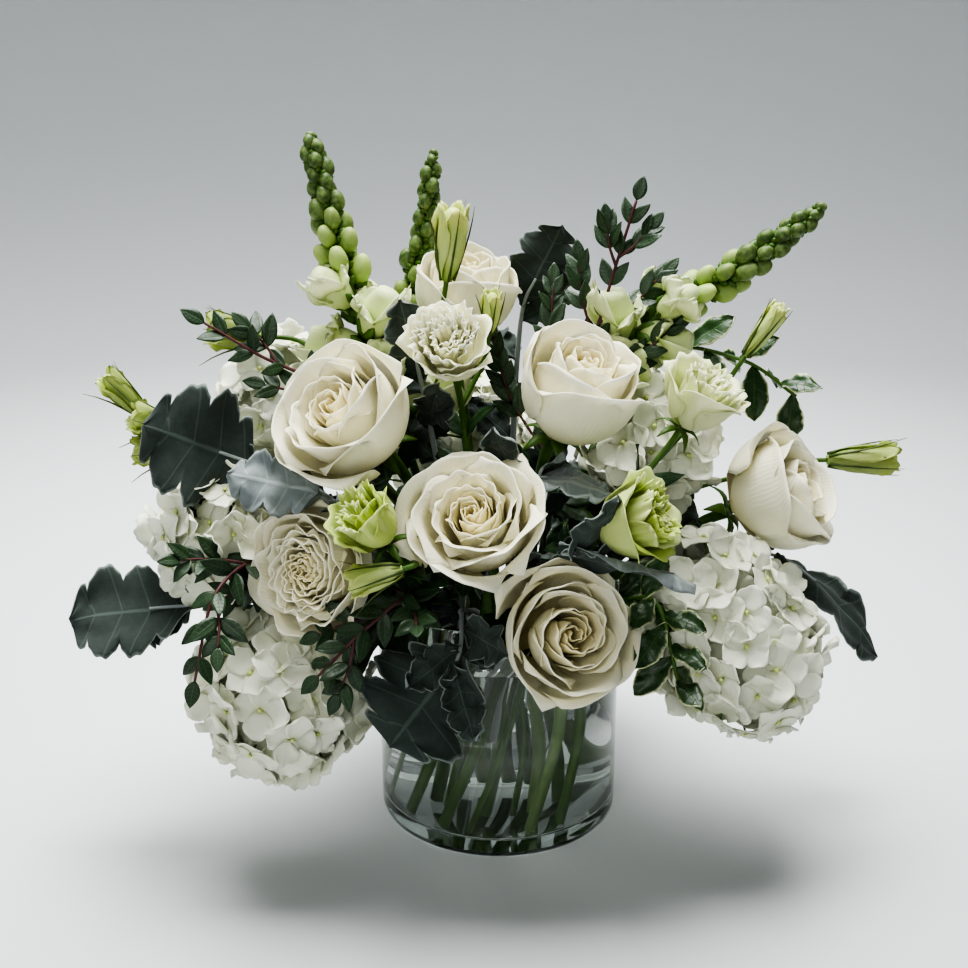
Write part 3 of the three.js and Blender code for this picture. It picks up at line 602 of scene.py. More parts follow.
def fitted(tree, value, start, end, low=0.0, high=1.0):
    """A value brought from the range start to end into the range low to high."""
    ends = {"From Min": start, "From Max": end, "To Min": low, "To Max": high}
    return add_node(tree, "ShaderNodeMapRange", {"Value": value}, ends).outputs["Result"]


def calculated(tree, operation, *ends):
    """One step of arithmetic on numbers and nodes' outputs, in the order of its sockets."""
    made = add_node(tree, "ShaderNodeMath", operation=operation)
    for socket, end in enumerate(ends):
        if isinstance(end, (int, float)):
            made.inputs[socket].default_value = end
        else:
            tree.links.new(end, made.inputs[socket])
    return made.outputs[0]


def blend_color(tree, factor, a, b):
    """Mixes two colours, each a colour or a node's output; sockets 6 and 7 are its colour ends."""
    made = add_node(tree, "ShaderNodeMix", {0: factor}, data_type="RGBA")
    for socket, end in ((6, a), (7, b)):
        if isinstance(end, list):
            made.inputs[socket].default_value = end
        else:
            tree.links.new(end, made.inputs[socket])
    return made.outputs[2]


def graded(tree, value, *stops):
    """A run of colours over a value from 0 to 1."""
    return add_node(tree, "ShaderNodeValToRGB", {"Fac": value}, stops=stops).outputs["Color"]


def finish_surface(tree, shader, color, height, strength, distance):
    """Sets a shader's colour, and its relief from a height, the distance in metres."""
    tree.links.new(color, shader.inputs["Base Color"])
    values = {"Strength": strength, "Distance": distance}
    relief = add_node(tree, "ShaderNodeBump", {"Height": height}, values).outputs["Normal"]
    tree.links.new(relief, shader.inputs["Normal"])


def petal_material(name, throat, body, rim, shade, deep=0.45, vein_depth=0.15, blotched=0.5):
    """A living petal: thin soft tissue, matt with a faint velvet sheen, that lets light
    through. It is deepest in colour at its claw, and fine veins fan out along it."""
    made, tree, shader = start_material(
        name, Roughness=0.55, Subsurface_Weight=0.25, Subsurface_Scale=0.004, Sheen_Weight=0.08,
        IOR=1.4,
    )
    shader.inputs["Subsurface Radius"].default_value = (1.0, 0.97, 0.85)
    along, across = attribute(tree, "along"), attribute(tree, "across")
    base = graded(tree, along, (0.0, throat), (deep, body), (0.9, body), (1.0, rim))
    toned = blend_color(tree, attribute(tree, "tint"), base, shade)
    # Soft blotches about 12 mm across, as bruises and shade in the tissue.
    blotch = fitted(tree, grain_of(tree, Scale=80.0, Detail=3.0), 0, 1, 0, blotched)
    color = blend_color(tree, blotch, toned, shade)
    # Veins: some thirty over the width of a petal, less than a millimetre apart at the claw.
    fan = add_node(tree, "ShaderNodeCombineXYZ", {"X": across, "Y": along}).outputs["Vector"]
    veins = add_node(
        tree, "ShaderNodeTexWave", {"Vector": fan},
        {"Scale": 4.5, "Distortion": 3.0, "Detail": 2.0, "Detail Scale": 2.0},
    ).outputs["Fac"]
    finish_surface(tree, shader, color, veins, vein_depth, 0.0006)
    return made


def green_material(name, low, high, fleck, shade=None, scale=120.0):
    """Fresh green stem or bud skin: waxy, slightly streaked, paler to one end, and nearer to
    its shade where it is young."""
    made, tree, shader = start_material(
        name, Roughness=0.45, Specular_IOR_Level=0.3, Subsurface_Weight=0.08,
        Subsurface_Scale=0.003,
    )
    base = graded(tree, attribute(tree, "along"), (0.0, low), (1.0, high))
    toned = blend_color(tree, attribute(tree, "tint"), base, shade or high)
    grain = grain_of(tree, Scale=scale, Detail=4.0)
    color = blend_color(tree, fitted(tree, grain, 0.4, 0.75, 0, 0.5), toned, fleck)
    finish_surface(tree, shader, color, grain, 0.2, 0.0004)
    return made


def leaf_material(name, body, vein, rim, ribs, rim_start, roughness, fuzz, vein_width=0.03,
                  wear=0.12):
    """A leaf's skin: a pale midrib, side veins that lean forward from it, a rim of another
    colour, and for a felted leaf a mat of fine pale hairs that hides the gloss."""
    made, tree, shader = start_material(
        name, Roughness=roughness, Specular_IOR_Level=0.5 - 0.4 * fuzz, Sheen_Weight=0.6 * fuzz,
        Sheen_Roughness=0.5,
    )
    side = calculated(tree, "ABSOLUTE", attribute(tree, "across"))
    rib = fitted(tree, side, vein_width * 0.5, vein_width * 1.6, 1, 0)
    lean = calculated(tree, "MULTIPLY_ADD", side, -0.12, attribute(tree, "along"))
    fold = calculated(tree, "PINGPONG", calculated(tree, "MULTIPLY", lean, ribs), 0.5)
    veins = fitted(tree, fold, 0.5 - vein_width * 1.6, 0.5, 0, 0.75)
    lines = calculated(tree, "MAXIMUM", rib, veins)
    grain = grain_of(tree, Scale=260.0, Detail=5.0, Roughness=0.7)
    worn = calculated(tree, "ADD", side, fitted(tree, grain, 0.3, 0.7, -wear, wear))
    young = [min(1, YOUNG_LEAF * c) for c in body[:3]] + [1]
    lit = blend_color(tree, attribute(tree, "tint"), body, young)
    veined = blend_color(tree, lines, lit, vein)
    rimmed = blend_color(tree, fitted(tree, worn, rim_start, 1), veined, rim)
    mottle = fitted(tree, grain, 0.45, 0.8, 0, 0.25 + 0.4 * fuzz)
    color = blend_color(tree, mottle, rimmed, vein)
    finish_surface(tree, shader, color, calculated(tree, "SUBTRACT", lines, grain), 0.5, 0.0005)
    return made


def clear_material(name, ior, color, body=None, density=0.0):
    """A clear body, glass or still water, that throws no dark shadow. Glass is faintly green
    where the way through it is long."""
    made, tree, shader = start_material(name, Roughness=0.0, IOR=ior, Transmission_Weight=1.0)
    shader.inputs["Base Color"].default_value = color
    out = tree.nodes["Material Output"]
    shadow = add_node(tree, "ShaderNodeLightPath").outputs["Is Shadow Ray"]
    through = add_node(tree, "ShaderNodeBsdfTransparent", values={"Color": color}).outputs[0]
    both = add_node(tree, "ShaderNodeMixShader", {0: shadow, 1: shader.outputs[0], 2: through})
    tree.links.new(both.outputs[0], out.inputs["Surface"])
    if body:
        values = {"Color": body, "Density": density}
        depth = add_node(tree, "ShaderNodeVolumeAbsorption", values=values)
        tree.links.new(depth.outputs[0], out.inputs["Volume"])
    return made


def make_materials(settings):
    """Every finish of the arrangement, by its plain name."""
    return {
        "cream petal": petal_material(
            "Cream rose petal", *colors("e4d58c", settings.rose, "f8f8e8", "efe1a6")
        ),
        "white sepal": petal_material(
            "White hydrangea sepal", *colors("dfe6b4", settings.hydrangea, "f5f7e6", "e7ecce"),
            deep=0.25, vein_depth=0.25,
        ),
        "lisianthus petal": petal_material(
            "Lisianthus petal", *colors("b4c766", settings.lisianthus, "f9f8e2", "b6cb5c"),
            deep=0.14, blotched=0.15,
        ),
        "snapdragon petal": petal_material(
            "Snapdragon petal", *colors("a6bd68", settings.snapdragon, "f3f5dc", "bfd084")
        ),
        "rose stem": green_material("Rose stem bark", *colors("3b5a22", "4a6a2c", "617f3c")),
        "pale stem": green_material("Hydrangea stem bark", *colors("54713a", "6f8a50", "8a9f6c")),
        "bud": green_material(
            "Lisianthus bud skin", *colors("7e9c45", "cbd884", "dfe6a8"), scale=60
        ),
        "needle": green_material("Sepal needle skin", *colors("3f5a2c", "4b5a34", "6f8350")),
        "snap bud": green_material(
            "Snapdragon bud skin", *colors("69883f", "b4c878", "a3ba70", "465c30"), scale=300
        ),
        "purple stem": green_material(
            "Eucalyptus stem bark", *colors("3f282a", "5a3436", "745254")
        ),
        "felt top": leaf_material(
            "Dusty miller felt, upper side", *colors(settings.felt, "515d56", "89938d"),
            ribs=4.5, rim_start=0.93, roughness=0.95, fuzz=0.2, vein_width=0.035, wear=0.03,
        ),
        "felt under": leaf_material(
            "Dusty miller felt, underside", *colors("788180", "979f9e", "8f9897"),
            ribs=4.5, rim_start=0.93, roughness=1.0, fuzz=0.7, vein_width=0.06, wear=0.03,
        ),
        "eucalyptus leaf": leaf_material(
            "Eucalyptus leaf wax", *colors(settings.eucalyptus, "4a6642", "34502c"),
            ribs=7, rim_start=0.9, roughness=0.42, fuzz=0.05,
        ),
        "pittosporum leaf": leaf_material(
            "Variegated pittosporum leaf wax", *colors("223c1b", "3f6230", "cfd6a6"),
            ribs=6, rim_start=0.82, roughness=0.35, fuzz=0.0,
        ),
        "broad leaf": leaf_material(
            "Rose leaf skin", *colors("1b3319", "45643a", "2d4827"),
            ribs=8, rim_start=0.95, roughness=0.45, fuzz=0.0,
        ),
        "glass": clear_material(
            "Soda-lime glass, blown and polished", 1.5, [0.99, 1.0, 0.99, 1],
            body=list(settings.glass), density=8.0,
        ),
        "water": clear_material("Still water", 1.333, [0.98, 0.99, 0.97, 1]),
    }


LOOKS = {}


# ---- petals, leaves and buds ----
def cup_petal(piece, place, azimuth, spread, root, belly, rim, roll, skew, drop,
              ruffle=0.0, waves=3.0, tip=0.0, columns=10, rows=9, tint=0.0, material=0):
    """A petal on a cup round local +Z: from its root over the belly to the rim, each a pair of
    radius and height. The rim rolls outward, falls to its corners and may be ruffled."""
    base, high = Vector(root), Vector(rim)
    wide = Vector(belly)
    shift = azimuth * 3.1

    def point(across, along):
        t = along * (1 - drop * abs(across) ** 2.6 * smooth(0.3, 1, along))
        inner = Vector((wide.x * 1.12, mix(base.y, wide.y, 0.35)))
        outer = Vector((wide.x * 1.16, mix(wide.y, high.y, 0.55)))
        spot = (
            base * (1 - t) ** 3
            + inner * 3 * t * (1 - t) ** 2
            + outer * 3 * t * t * (1 - t)
            + high * t**3
        )
        narrow = mix(0.3, 1, smooth(0, 0.5, along)) * (1 - 0.25 * smooth(0.7, 1, along))
        angle = azimuth + spread * across * narrow
        curl = smooth(0.7, 1, along) + 0.12 * smooth(0.75, 1, abs(across)) * smooth(0.3, 0.8, along)
        wave = ruffle * along**2 * math.sin(waves * math.pi * across + shift)
        wave += ruffle * 0.8 * along * noise.noise(Vector((3 * across, 3 * along, shift)))
        point_out = tip * smooth(0.75, 1, along) * max(0, 1 - 3 * abs(across))
        radius = spot.x + skew * across * mix(0.3, 1, along) + roll * curl**2 + wave
        radius += 0.6 * point_out
        height = spot.y - 0.45 * roll * curl**3 + 0.5 * wave + 0.3 * point_out
        return around(place, angle, radius, height)

    piece.blade(columns, rows, point, material=material, tint=tint)


def rose_bloom(name, thickness):
    """A rose: petals in a spiral, tight in the heart, inside a cup of broad ones that roll back."""
    one = ROSES[name]
    piece = Piece(f"{name}_petals", LOOKS["cream petal"])
    place = aim(neck_of(one), one["facing"], one["turn"])
    wide, high, count = one["radius"], one["height"], one["petals"]
    draw = random.Random(SEED + count + int(wide))
    for k in range(count):
        s = (k + 0.5) / count
        outer = k >= count - ROSE_CUP
        part = (k - count + ROSE_CUP) / (ROSE_CUP - 1) if outer else (k + 0.5) / (count - ROSE_CUP)
        belly = wide * (mix(0.64, 0.93, part) if outer else mix(0.07, 0.57, part))
        top = high * (mix(1.0, 0.84, part) if outer else mix(0.86, 0.97, part))
        foot = high * mix(0.3, 0.03, s)
        flare = mix(0.8, one["open"], s**1.2)
        cup_petal(
            piece, place,
            azimuth=k * GOLDEN_ANGLE + draw.uniform(-0.15, 0.15),
            spread=(1.3 if outer else mix(2.0, 1.0, part**0.5)) * draw.uniform(0.92, 1.08),
            root=(wide * mix(0.02, 0.1, s), foot),
            belly=(belly, mix(foot, top, 0.5)),
            rim=(belly * flare, top * draw.uniform(0.97, 1.03)),
            roll=wide * one["roll"] * s**1.4,
            skew=belly * mix(0.3, 0.07, s),
            drop=mix(0.08, 0.22, s),
            ruffle=one["ruffle"] * mix(0.6, 1.5, s),
            waves=draw.uniform(1.5, 3.2),
            tip=1.4 * s,
            columns=16, rows=13,
            tint=mix(0.75, 0.0, smooth(0, 0.75, s)),
        )
    piece.finish([name], thickness=thickness)


def ruffled_bloom(name):
    """A double lisianthus: soft petals with frilled rims, lime at the throat."""
    one = BLOOMS[name]
    piece = Piece(f"{name}_petals", LOOKS["lisianthus petal"])
    place = aim(neck_of(one), one["facing"])
    wide, high, count = one["radius"], one["height"], one["petals"]
    draw = random.Random(SEED + count)
    for k in range(count):
        inner = k < count - LISIANTHUS_CUP
        s = (k - count + LISIANTHUS_CUP) / LISIANTHUS_CUP
        if inner:
            s = (k + 0.5) / (count - LISIANTHUS_CUP)
        belly = wide * (mix(0.1, 0.66, s**0.8) if inner else mix(0.74, 0.86, s))
        top = high * (mix(0.94, 0.99, s) if inner else mix(0.93, 0.78, s))
        foot = high * mix(0.3, 0.05, s) if inner else 0.03 * high
        cup_petal(
            piece, place,
            azimuth=k * GOLDEN_ANGLE + draw.uniform(-0.3, 0.3),
            spread=(mix(1.3, 0.75, s) if inner else 1.05) * draw.uniform(0.9, 1.1),
            root=(wide * 0.07, foot),
            belly=(belly, mix(foot, top, 0.5)),
            rim=(
                belly * (mix(0.9, 1.1, s) if inner else one["open"]),
                top * draw.uniform(0.95, 1.04),
            ),
            roll=wide * (0.08 if inner else 0.16),
            skew=belly * 0.12,
            drop=0.15,
            ruffle=mix(1.2, 1.7, s) if inner else 1.2,
            waves=draw.uniform(3.0, 5.0) if inner else draw.uniform(2.0, 3.5),
            columns=14, rows=8,
            tint=min(1, one["lime"] * draw.uniform(0.7, 1.2)),
        )
    piece.finish([name], thickness=0.4)


def within(one, point, margin):
    """Whether a point lies in a bloom's envelope, grown by a margin."""
    local = aim(one["place"], one["facing"]).inverted() @ point
    side = one["radius"] + margin
    deep = max(one["height"] / 2, one["radius"] * 0.9) + margin
    return (local.x / side) ** 2 + (local.y / side) ** 2 + (local.z / deep) ** 2 < 1


def hydrangea_head(name, sepal):
    """A hydrangea head: four-lobed florets shoulder to shoulder over a rounded dome."""
    one = HYDRANGEAS[name]
    piece = Piece(f"{name}_florets", LOOKS["white sepal"], LOOKS["bud"], LOOKS["pale stem"])
    place = aim(one["place"], one["facing"])
    wide, deep = one["radius"], one["height"] / 2
    others = [*ROSES.values(), *BLOOMS.values()]
    others += [two for key, two in HYDRANGEAS.items() if key != name]
    count = int(FLORETS * (wide / USUAL_HEAD) ** 2 * (0.4 + 0.6 * deep / wide))
    draw = random.Random(SEED + count + int(wide * deep))
    for i in range(count):
        up = 1 - 1.8 * (i + 0.5) / count
        ring = math.sqrt(max(0, 1 - up * up))
        angle = i * GOLDEN_ANGLE + draw.uniform(-0.12, 0.12)
        out = Vector((ring * math.cos(angle), ring * math.sin(angle), up))
        reach = draw.uniform(0.66, 0.8) if i % 3 == 0 else draw.uniform(0.86, 1.0)
        seat = Vector((out.x * wide, out.y * wide, out.z * deep)) * reach
        if any(within(two, place @ seat, -1.5) for two in others):
            continue
        way = Vector((out.x / wide, out.y / wide, out.z / deep)).normalized()
        way += Vector([draw.uniform(-0.45, 0.45) for _ in range(3)])
        spot = place @ aim(seat, way.normalized(), draw.uniform(0, math.pi))
        hydrangea_floret(piece, spot, sepal * draw.uniform(0.91, 1.09), draw)
        stalk = [spot @ Vector((0, 0, 0)), place @ (seat * 0.45)]
        piece.tube(stalk, [0.7, 1.2], sides=5, material=2)
    core_of_stalks(piece, one, place)
    piece.finish([name], thickness=0.4)


def core_of_stalks(piece, one, place):
    """The branched top of the stem inside the head, which carries the floret stalks."""
    wide, deep = one["radius"], one["height"] / 2
    for i in range(CORE_BRANCHES):
        up = 1 - 1.5 * (i + 0.5) / CORE_BRANCHES
        ring = math.sqrt(1 - up * up)
        angle = i * GOLDEN_ANGLE
        end = Vector((ring * math.cos(angle) * wide, ring * math.sin(angle) * wide, up * deep))
        end *= 0.55
        start = place @ Vector((0, 0, -deep))
        middle = place @ Vector((end.x * 0.35, end.y * 0.35, mix(-deep, end.z, 0.55)))
        radii = [2.2, 2, 1.9, 1.8, 1.7, 1.6, 1.5, 1.4, 1.2]
        piece.tube(smooth_line([start, middle, place @ end], 4), radii, sides=6, material=2)


def hydrangea_floret(piece, spot, long, draw):
    """Four broad sepals, each lapping the next, round a tiny green eye."""
    for i in range(4):
        turn = math.pi / 2 * i + draw.uniform(-0.12, 0.12)
        size = long * draw.uniform(0.9, 1.08)
        rise = draw.uniform(-0.12, 0.45)
        lift = 0.7 * (i % 2)
        shift = draw.uniform(0, 9)

        def point(across, along):
            half = 0.55 * size * math.sin(math.pi * (0.07 + 0.8 * along**1.25)) ** 0.62
            x = size * along * (1 - 0.2 * across * across * along) + 0.6
            y = half * across
            z = lift + rise * x * along + 0.14 * (across * across - 0.4) * size * along
            z += 3.2 * along * noise.noise(Vector((1.3 * across, 1.3 * along, shift)))
            return spot @ Matrix.Rotation(turn, 4, "Z") @ Vector((x, y, z))

        piece.blade(6, 6, point, tint=draw.uniform(0, 0.35))
    eye = spot @ Matrix.Translation((0, 0, 0.8))
    piece.egg(6, 4, lambda a, t: eye @ round_point(a, t, 1.5, 2.0), material=1, tint=0.9)


def round_point(angle, along, radius, length):
    """A point of a plain round bud standing on its base."""
    ring = radius * math.sin(math.pi * along) ** 0.8 if 0 < along < 1 else 0
    return Vector((ring * math.cos(angle), ring * math.sin(angle), length * along))


def claws(piece, place, count, radii, bend, sides=5, material=0):
    """Narrow sepals round the axis of a place: bend(which, share of its length) gives how far
    out from the axis and how far along it each runs."""
    for i in range(count):
        way = 2 * math.pi * i / count
        steps = [step / (len(radii) - 1) for step in range(len(radii))]
        points = [around(place, way, *bend(i, t)) for t in steps]
        piece.tube(points, radii, sides=sides, material=material)


def twisted_bud(piece, base, tip, radius, skin=1, green=2):
    """A closed lisianthus bud: petals wound to a point, between five needle sepals."""
    axis = Vector(tip) - Vector(base)
    length = axis.length
    place = aim(base, axis.normalized())

    def point(angle, along):
        swell = mix(0.3, 0.86, smooth(0, 0.75, along)) * (1 - along**5) ** 0.5
        ring = radius * swell * (1 + 0.06 * math.cos(5 * angle))
        return around(place, angle, ring, 0.93 * length * along)

    def bend(i, t):
        out = radius * (0.42 + 0.75 * math.sin(1.5 * t)) * (1 + 0.8 * (i % 2) * t**3)
        return out, length * (0.02 + 0.95 * t)

    piece.egg(20, 12, point, material=skin, tint=0.1)
    for i in range(5):
        cup_petal(
            piece, place, azimuth=i * 2.5, spread=0.95, root=(0.22 * radius, 0),
            belly=(0.84 * radius, 0.5 * length),
            rim=(0.62 * radius, length * (1 - 0.03 * (i % 3))),
            roll=0.2 * radius, skew=0.16 * radius, drop=0.24, ruffle=0.6, waves=4.5,
            tip=0.14 * radius, columns=10, rows=9, tint=0.12 * i, material=skin,
        )
    claws(piece, place, 5, [1.0, 0.8, 0.65, 0.5, 0.35, 0.15], bend, material=green)


def side_stalk(piece, start, base, tip):
    """The stalk of a side bud, from its stem to under the bud."""
    axis = (Vector(tip) - Vector(base)).normalized()
    bend = Vector(base) - axis * 0.3 * (Vector(base) - start).length
    line = smooth_line([start, bend, Vector(base) + axis * 2], 5)
    piece.tube(line, [SIDE_STALK] * len(line))


def leaf(piece, place, length, half, outline, arch=0.1, fold=0.12, wave=0.0,
         columns=4, rows=7, material=0, tint=0.3, lean=0.0, curl=0.0):
    """A leaf along local +X with its upper side to +Z; outline gives its width along it."""
    shift = place.translation.x * 0.37 + length

    def point(across, along):
        wide = half * outline(along)
        x = length * along + lean * wide * across * across * (1.15 - along)
        y = -wide * across
        z = fold * abs(y) - arch * length * along * along
        z += wave * noise.noise(Vector((1.7 * across, 4 * along, shift))) * (0.3 + abs(across))
        z += curl * half * across * across * math.sin(9 * along + shift)
        return place @ Vector((x, y, z))

    piece.blade(columns, rows, point, material=material, tint=tint)


def oval(along):
    """A plain lance-shaped leaf: narrow stalk end, widest past a third, pointed tip."""
    return max(0.04, math.sin(math.pi * along**0.85) ** 0.85)


def wavy(along):
    """A spoon-shaped leaf with a rounded end."""
    return max(0.05, math.sin(math.pi * along**1.15) ** 0.7) * (1 + 0.06 * math.sin(22 * along))


def toothed(along):
    """A rose leaflet: egg-shaped with saw teeth."""
    teeth = 1 - 0.1 * ((along * 11) % 1)
    return max(0.03, math.sin(math.pi * along**0.8) ** 0.8) * teeth


def lobed(along):
    """A dusty miller leaf: blunt, rounded lobes on a broad blade."""
    envelope = math.sin(math.pi * (0.06 + 0.88 * along)) ** 0.6
    envelope *= mix(0.25, 1, smooth(0, 0.18, along))
    # Lobes crowd toward the leaf's tip, and each is a little unlike the next.
    count = along**1.1 * LOBES + 0.3
    phase = count % 1
    size = 1 + 0.1 * math.sin(2.4 * math.floor(count) + 1)
    lobe = math.sin(math.pi * phase) ** 0.36 * size
    scallop = 1 + 0.03 * math.cos(6 * math.pi * phase)
    notch = 0.6 * smooth(0.0, 0.15, along) * (1 - 0.25 * along)
    tip = 1 - smooth(0.88, 1.0, along)
    return max(0.03, envelope * (1 - notch * (1 - lobe)) * scallop * max(0.01, tip) ** 0.5)


# ---- one kind of piece after another ----
def calyx(piece, seat, axis, radius, reach):
    """Five pointed sepals under a bloom, spread round the top of its stem."""
    for i in range(5):
        place = aim(seat, axis, 2 * math.pi * i / 5)

        def point(across, along):
            half = 0.42 * radius * math.sin(math.pi * min(0.98, 0.25 + 0.72 * along))
            x = mix(0.3 * radius, reach, along)
            z = -0.05 * reach + 0.5 * radius * math.sin(2.2 * along) - 0.5 * reach * along**2
            return place @ Vector((x, half * across, z))

        piece.blade(2, 5, point, tint=0.2)


def bloom_stem(name, table, bark):
    """The stem under a bloom with its sepals, side buds and a few leaves."""
    one = table[name]
    axis = Vector(one["facing"]).normalized()
    seat = neck_of(one, GAP)
    back = seat - axis * 0.25 * one["height"]
    stem = Stem(name, [*one.get("via", []), back, seat])
    looks = [LOOKS[key] for key in (bark, "bud", "needle", "broad leaf")]
    piece = Piece(f"{name}_stalk", *looks)
    stem.draw(piece)
    if table is ROSES:
        calyx(piece, seat, axis, 9, 20)
    if table is BLOOMS:
        calyx(piece, seat, axis, 5, 15)
    for base, tip, radius in BUDS.get(name, []):
        side_stalk(piece, stem.at(0.8)[0], base, tip)
        twisted_bud(piece, base, tip, radius)
    leaves_up(piece, stem, name, table)
    piece.finish([f"{name}_stem"], thickness=0.4)


def leaves_up(piece, stem, name, table):
    """Leaves on the bent run of a bloom's stem. A rose's are three toothed leaflets on a
    stalk, a hydrangea's are broad pairs and a lisianthus's are narrow pairs."""
    draw = random.Random(SEED + len(name) * 3 + len(table))
    shares = {"r": (0.22, 0.4, 0.58, 0.74), "h": (0.45, 0.7), "l": (0.3, 0.5, 0.68)}[name[0]]
    for i, share in enumerate(shares):
        point, along = stem.at(share)
        outward = Vector((point.x, point.y, 0)).normalized()
        side = along.cross(outward).normalized()
        up = (Vector((0, 0, 1)) + outward * 0.8).normalized()
        for hand in ((-1, 1) if table is not ROSES else ((-1) ** i,)):
            way = side * hand + outward * draw.uniform(0.1, 0.7) + along * draw.uniform(0.0, 0.6)
            way.normalize()
            tint = draw.uniform(0, 0.5)
            if table is ROSES:
                end = point + way * 14
                piece.tube([point, point.lerp(end, 0.5), end], [0.9, 0.8, 0.7], sides=6, material=0)
                for turn, size in ((0, 31), (1.1, 25), (-1.1, 25)):
                    heading = Matrix.Rotation(turn, 3, up) @ way
                    leaf(piece, lay(end - heading, heading, up), size, size * 0.33, toothed,
                         wave=2.5, columns=6, rows=12, material=3, tint=tint)
            elif table is HYDRANGEAS:
                leaf(piece, lay(point, way, up), 46, 15, toothed, arch=0.2, wave=3,
                     columns=8, rows=14, material=3, tint=tint)
            else:
                leaf(piece, lay(point, way + along, up), 34, 5.5, oval, arch=0.3, wave=2,
                     columns=4, rows=10, material=3, tint=mix(0.5, 1, tint))


def bud_plant(name):
    """A lisianthus stem that ends in buds."""
    one = BUD_PLANTS[name]
    base, tip, _ = BUDS[name][0]
    axis = (Vector(tip) - Vector(base)).normalized()
    beyond = [*one["via"], Vector(base) - axis * 25, Vector(base) + axis * 2]
    stem = Stem(name, beyond)
    piece = Piece(f"{name}_buds", LOOKS["rose stem"], LOOKS["bud"], LOOKS["needle"])
    stem.draw(piece, taper=0.8)
    for i, (base, tip, radius) in enumerate(BUDS[name]):
        if i:
            side_stalk(piece, stem.at(0.83)[0], base, tip)
        twisted_bud(piece, base, tip, radius)
    piece.finish([name])


def snapdragon(name):
    """A snapdragon spike: ruffled two-lipped florets below, round green buds to its tip."""
    one = SNAPDRAGONS[name]
    stem = Stem(name, one["route"])
    looks = [LOOKS[key] for key in ("rose stem", "snap bud", "snapdragon petal")]
    piece = Piece(f"{name}_spike", *looks)
    stem.draw(piece, taper=0.45)
    draw = random.Random(SEED + one["buds"] + len(name))
    for i in range(one["florets"]):
        share = one["open"] * i / one["florets"]
        point, along = stem.at(mix(one["spike"], 0.99, share))
        place = aim(point, along, i * GOLDEN_ANGLE + draw.uniform(-0.2, 0.2))
        tilt = mix(0.3, 1.1, i / one["florets"])
        floret = place @ aim((3, 0, 0), (1, 0, tilt), draw.uniform(-0.3, 0.3))
        snapdragon_floret(piece, floret, mix(2.0, 1.4, i / one["florets"]), draw)
    for i in range(one["buds"]):
        share = i / (one["buds"] - 1)
        point, along = stem.at(mix(mix(one["spike"], 0.99, one["open"]), 0.99, share**0.85))
        place = aim(point, along, i * GOLDEN_ANGLE + draw.uniform(-0.25, 0.25))
        last = smooth(0.85, 1, share)
        size = mix(1, 0.74, share**0.6) * mix(1, 0.72, last) * draw.uniform(0.9, 1.1)
        tilt = mix(1.0, 0.6, share) * (1 - 0.6 * last) + draw.uniform(-0.12, 0.12)
        bud = place @ aim((mix(2.4, 0.8, share), 0, 0), (math.sin(tilt), 0, math.cos(tilt)))
        young = smooth(0.0, 0.55, share + draw.uniform(-0.1, 0.1))
        snap_bud(piece, bud, 6.3 * size, mix(18, 11.5, share) * size, young)
    piece.finish([name], thickness=0.5)


def snap_bud(piece, place, radius, length, tint):
    """A snapdragon bud: a round folded sack in a green cup."""
    def point(angle, along):
        swell = math.sin(math.pi * min(1, 0.06 + 0.94 * along)) ** 0.5
        ridge = 1 + 0.1 * math.cos(2 * angle) + 0.05 * math.cos(5 * angle)
        ring = radius * swell * ridge * mix(0.86, 1.08, along)
        bow = 0.16 * length * along * along
        x = ring * math.cos(angle) - bow
        return place @ Vector((x, ring * math.sin(angle), length * along))

    def bend(_, t):
        return radius * (0.3 + 0.78 * math.sin(1.7 * t)), length * 0.36 * t

    piece.egg(14, 9, point, material=1, tint=tint)
    claws(piece, place, 4, [radius * 0.4, radius * 0.44, radius * 0.3, 0.2], bend)


def snapdragon_floret(piece, place, size, draw):
    """An open snapdragon floret: a pouched throat with two lips of ruffled lobes."""
    def sack(angle, along):
        swell = math.sin(math.pi * mix(0.1, 0.86, along**0.8)) ** 0.7
        ring = 6.2 * size * swell * (1 + 0.14 * math.cos(2 * angle))
        return around(place, angle, ring, 21 * size * along)

    def bend(_, t):
        return size * (1.2 + 4.6 * math.sin(1.5 * t)), 7.5 * size * t

    piece.egg(14, 9, sack, material=2, tint=0.55)
    for i in range(5):
        upper = i < 2
        way = (0.55 if i else -0.55) if upper else math.pi + (i - 3) * 0.95
        shift = draw.uniform(0, 9)
        long = size * (13 if upper else 11)

        def point(across, along):
            half = 7.2 * size * math.sin(math.pi * (0.24 + 0.72 * along)) ** 0.6
            out = size * (4.6 + 2.2 * math.sin(math.pi * along))
            out += long * along * (0.12 if upper else 0.42)
            lift = 11 * size + long * along * (1.05 if upper else 0.75 - 0.5 * along)
            wave = 1.7 * size * along * math.sin(6 * across + shift)
            x = out * math.cos(way) - half * across * math.sin(way)
            y = out * math.sin(way) + half * across * math.cos(way)
            return place @ Vector((x, y, lift + wave - 1.5 * size * across * across))

        piece.blade(9, 7, point, material=2, tint=draw.uniform(0.0, 0.35))
    claws(piece, place, 5, [2.4 * size, 2.2 * size, 1.7 * size, 0.3], bend, sides=6)


def dusty_leaf(piece, place, length, half, arch, tint):
    """A felted, deeply lobed leaf with a waved blade and curled rims."""
    leaf(piece, place, length, half, lobed, arch=arch, fold=0.1, wave=7.0, columns=16, rows=60,
         material=0, tint=tint, lean=0.08, curl=0.13)


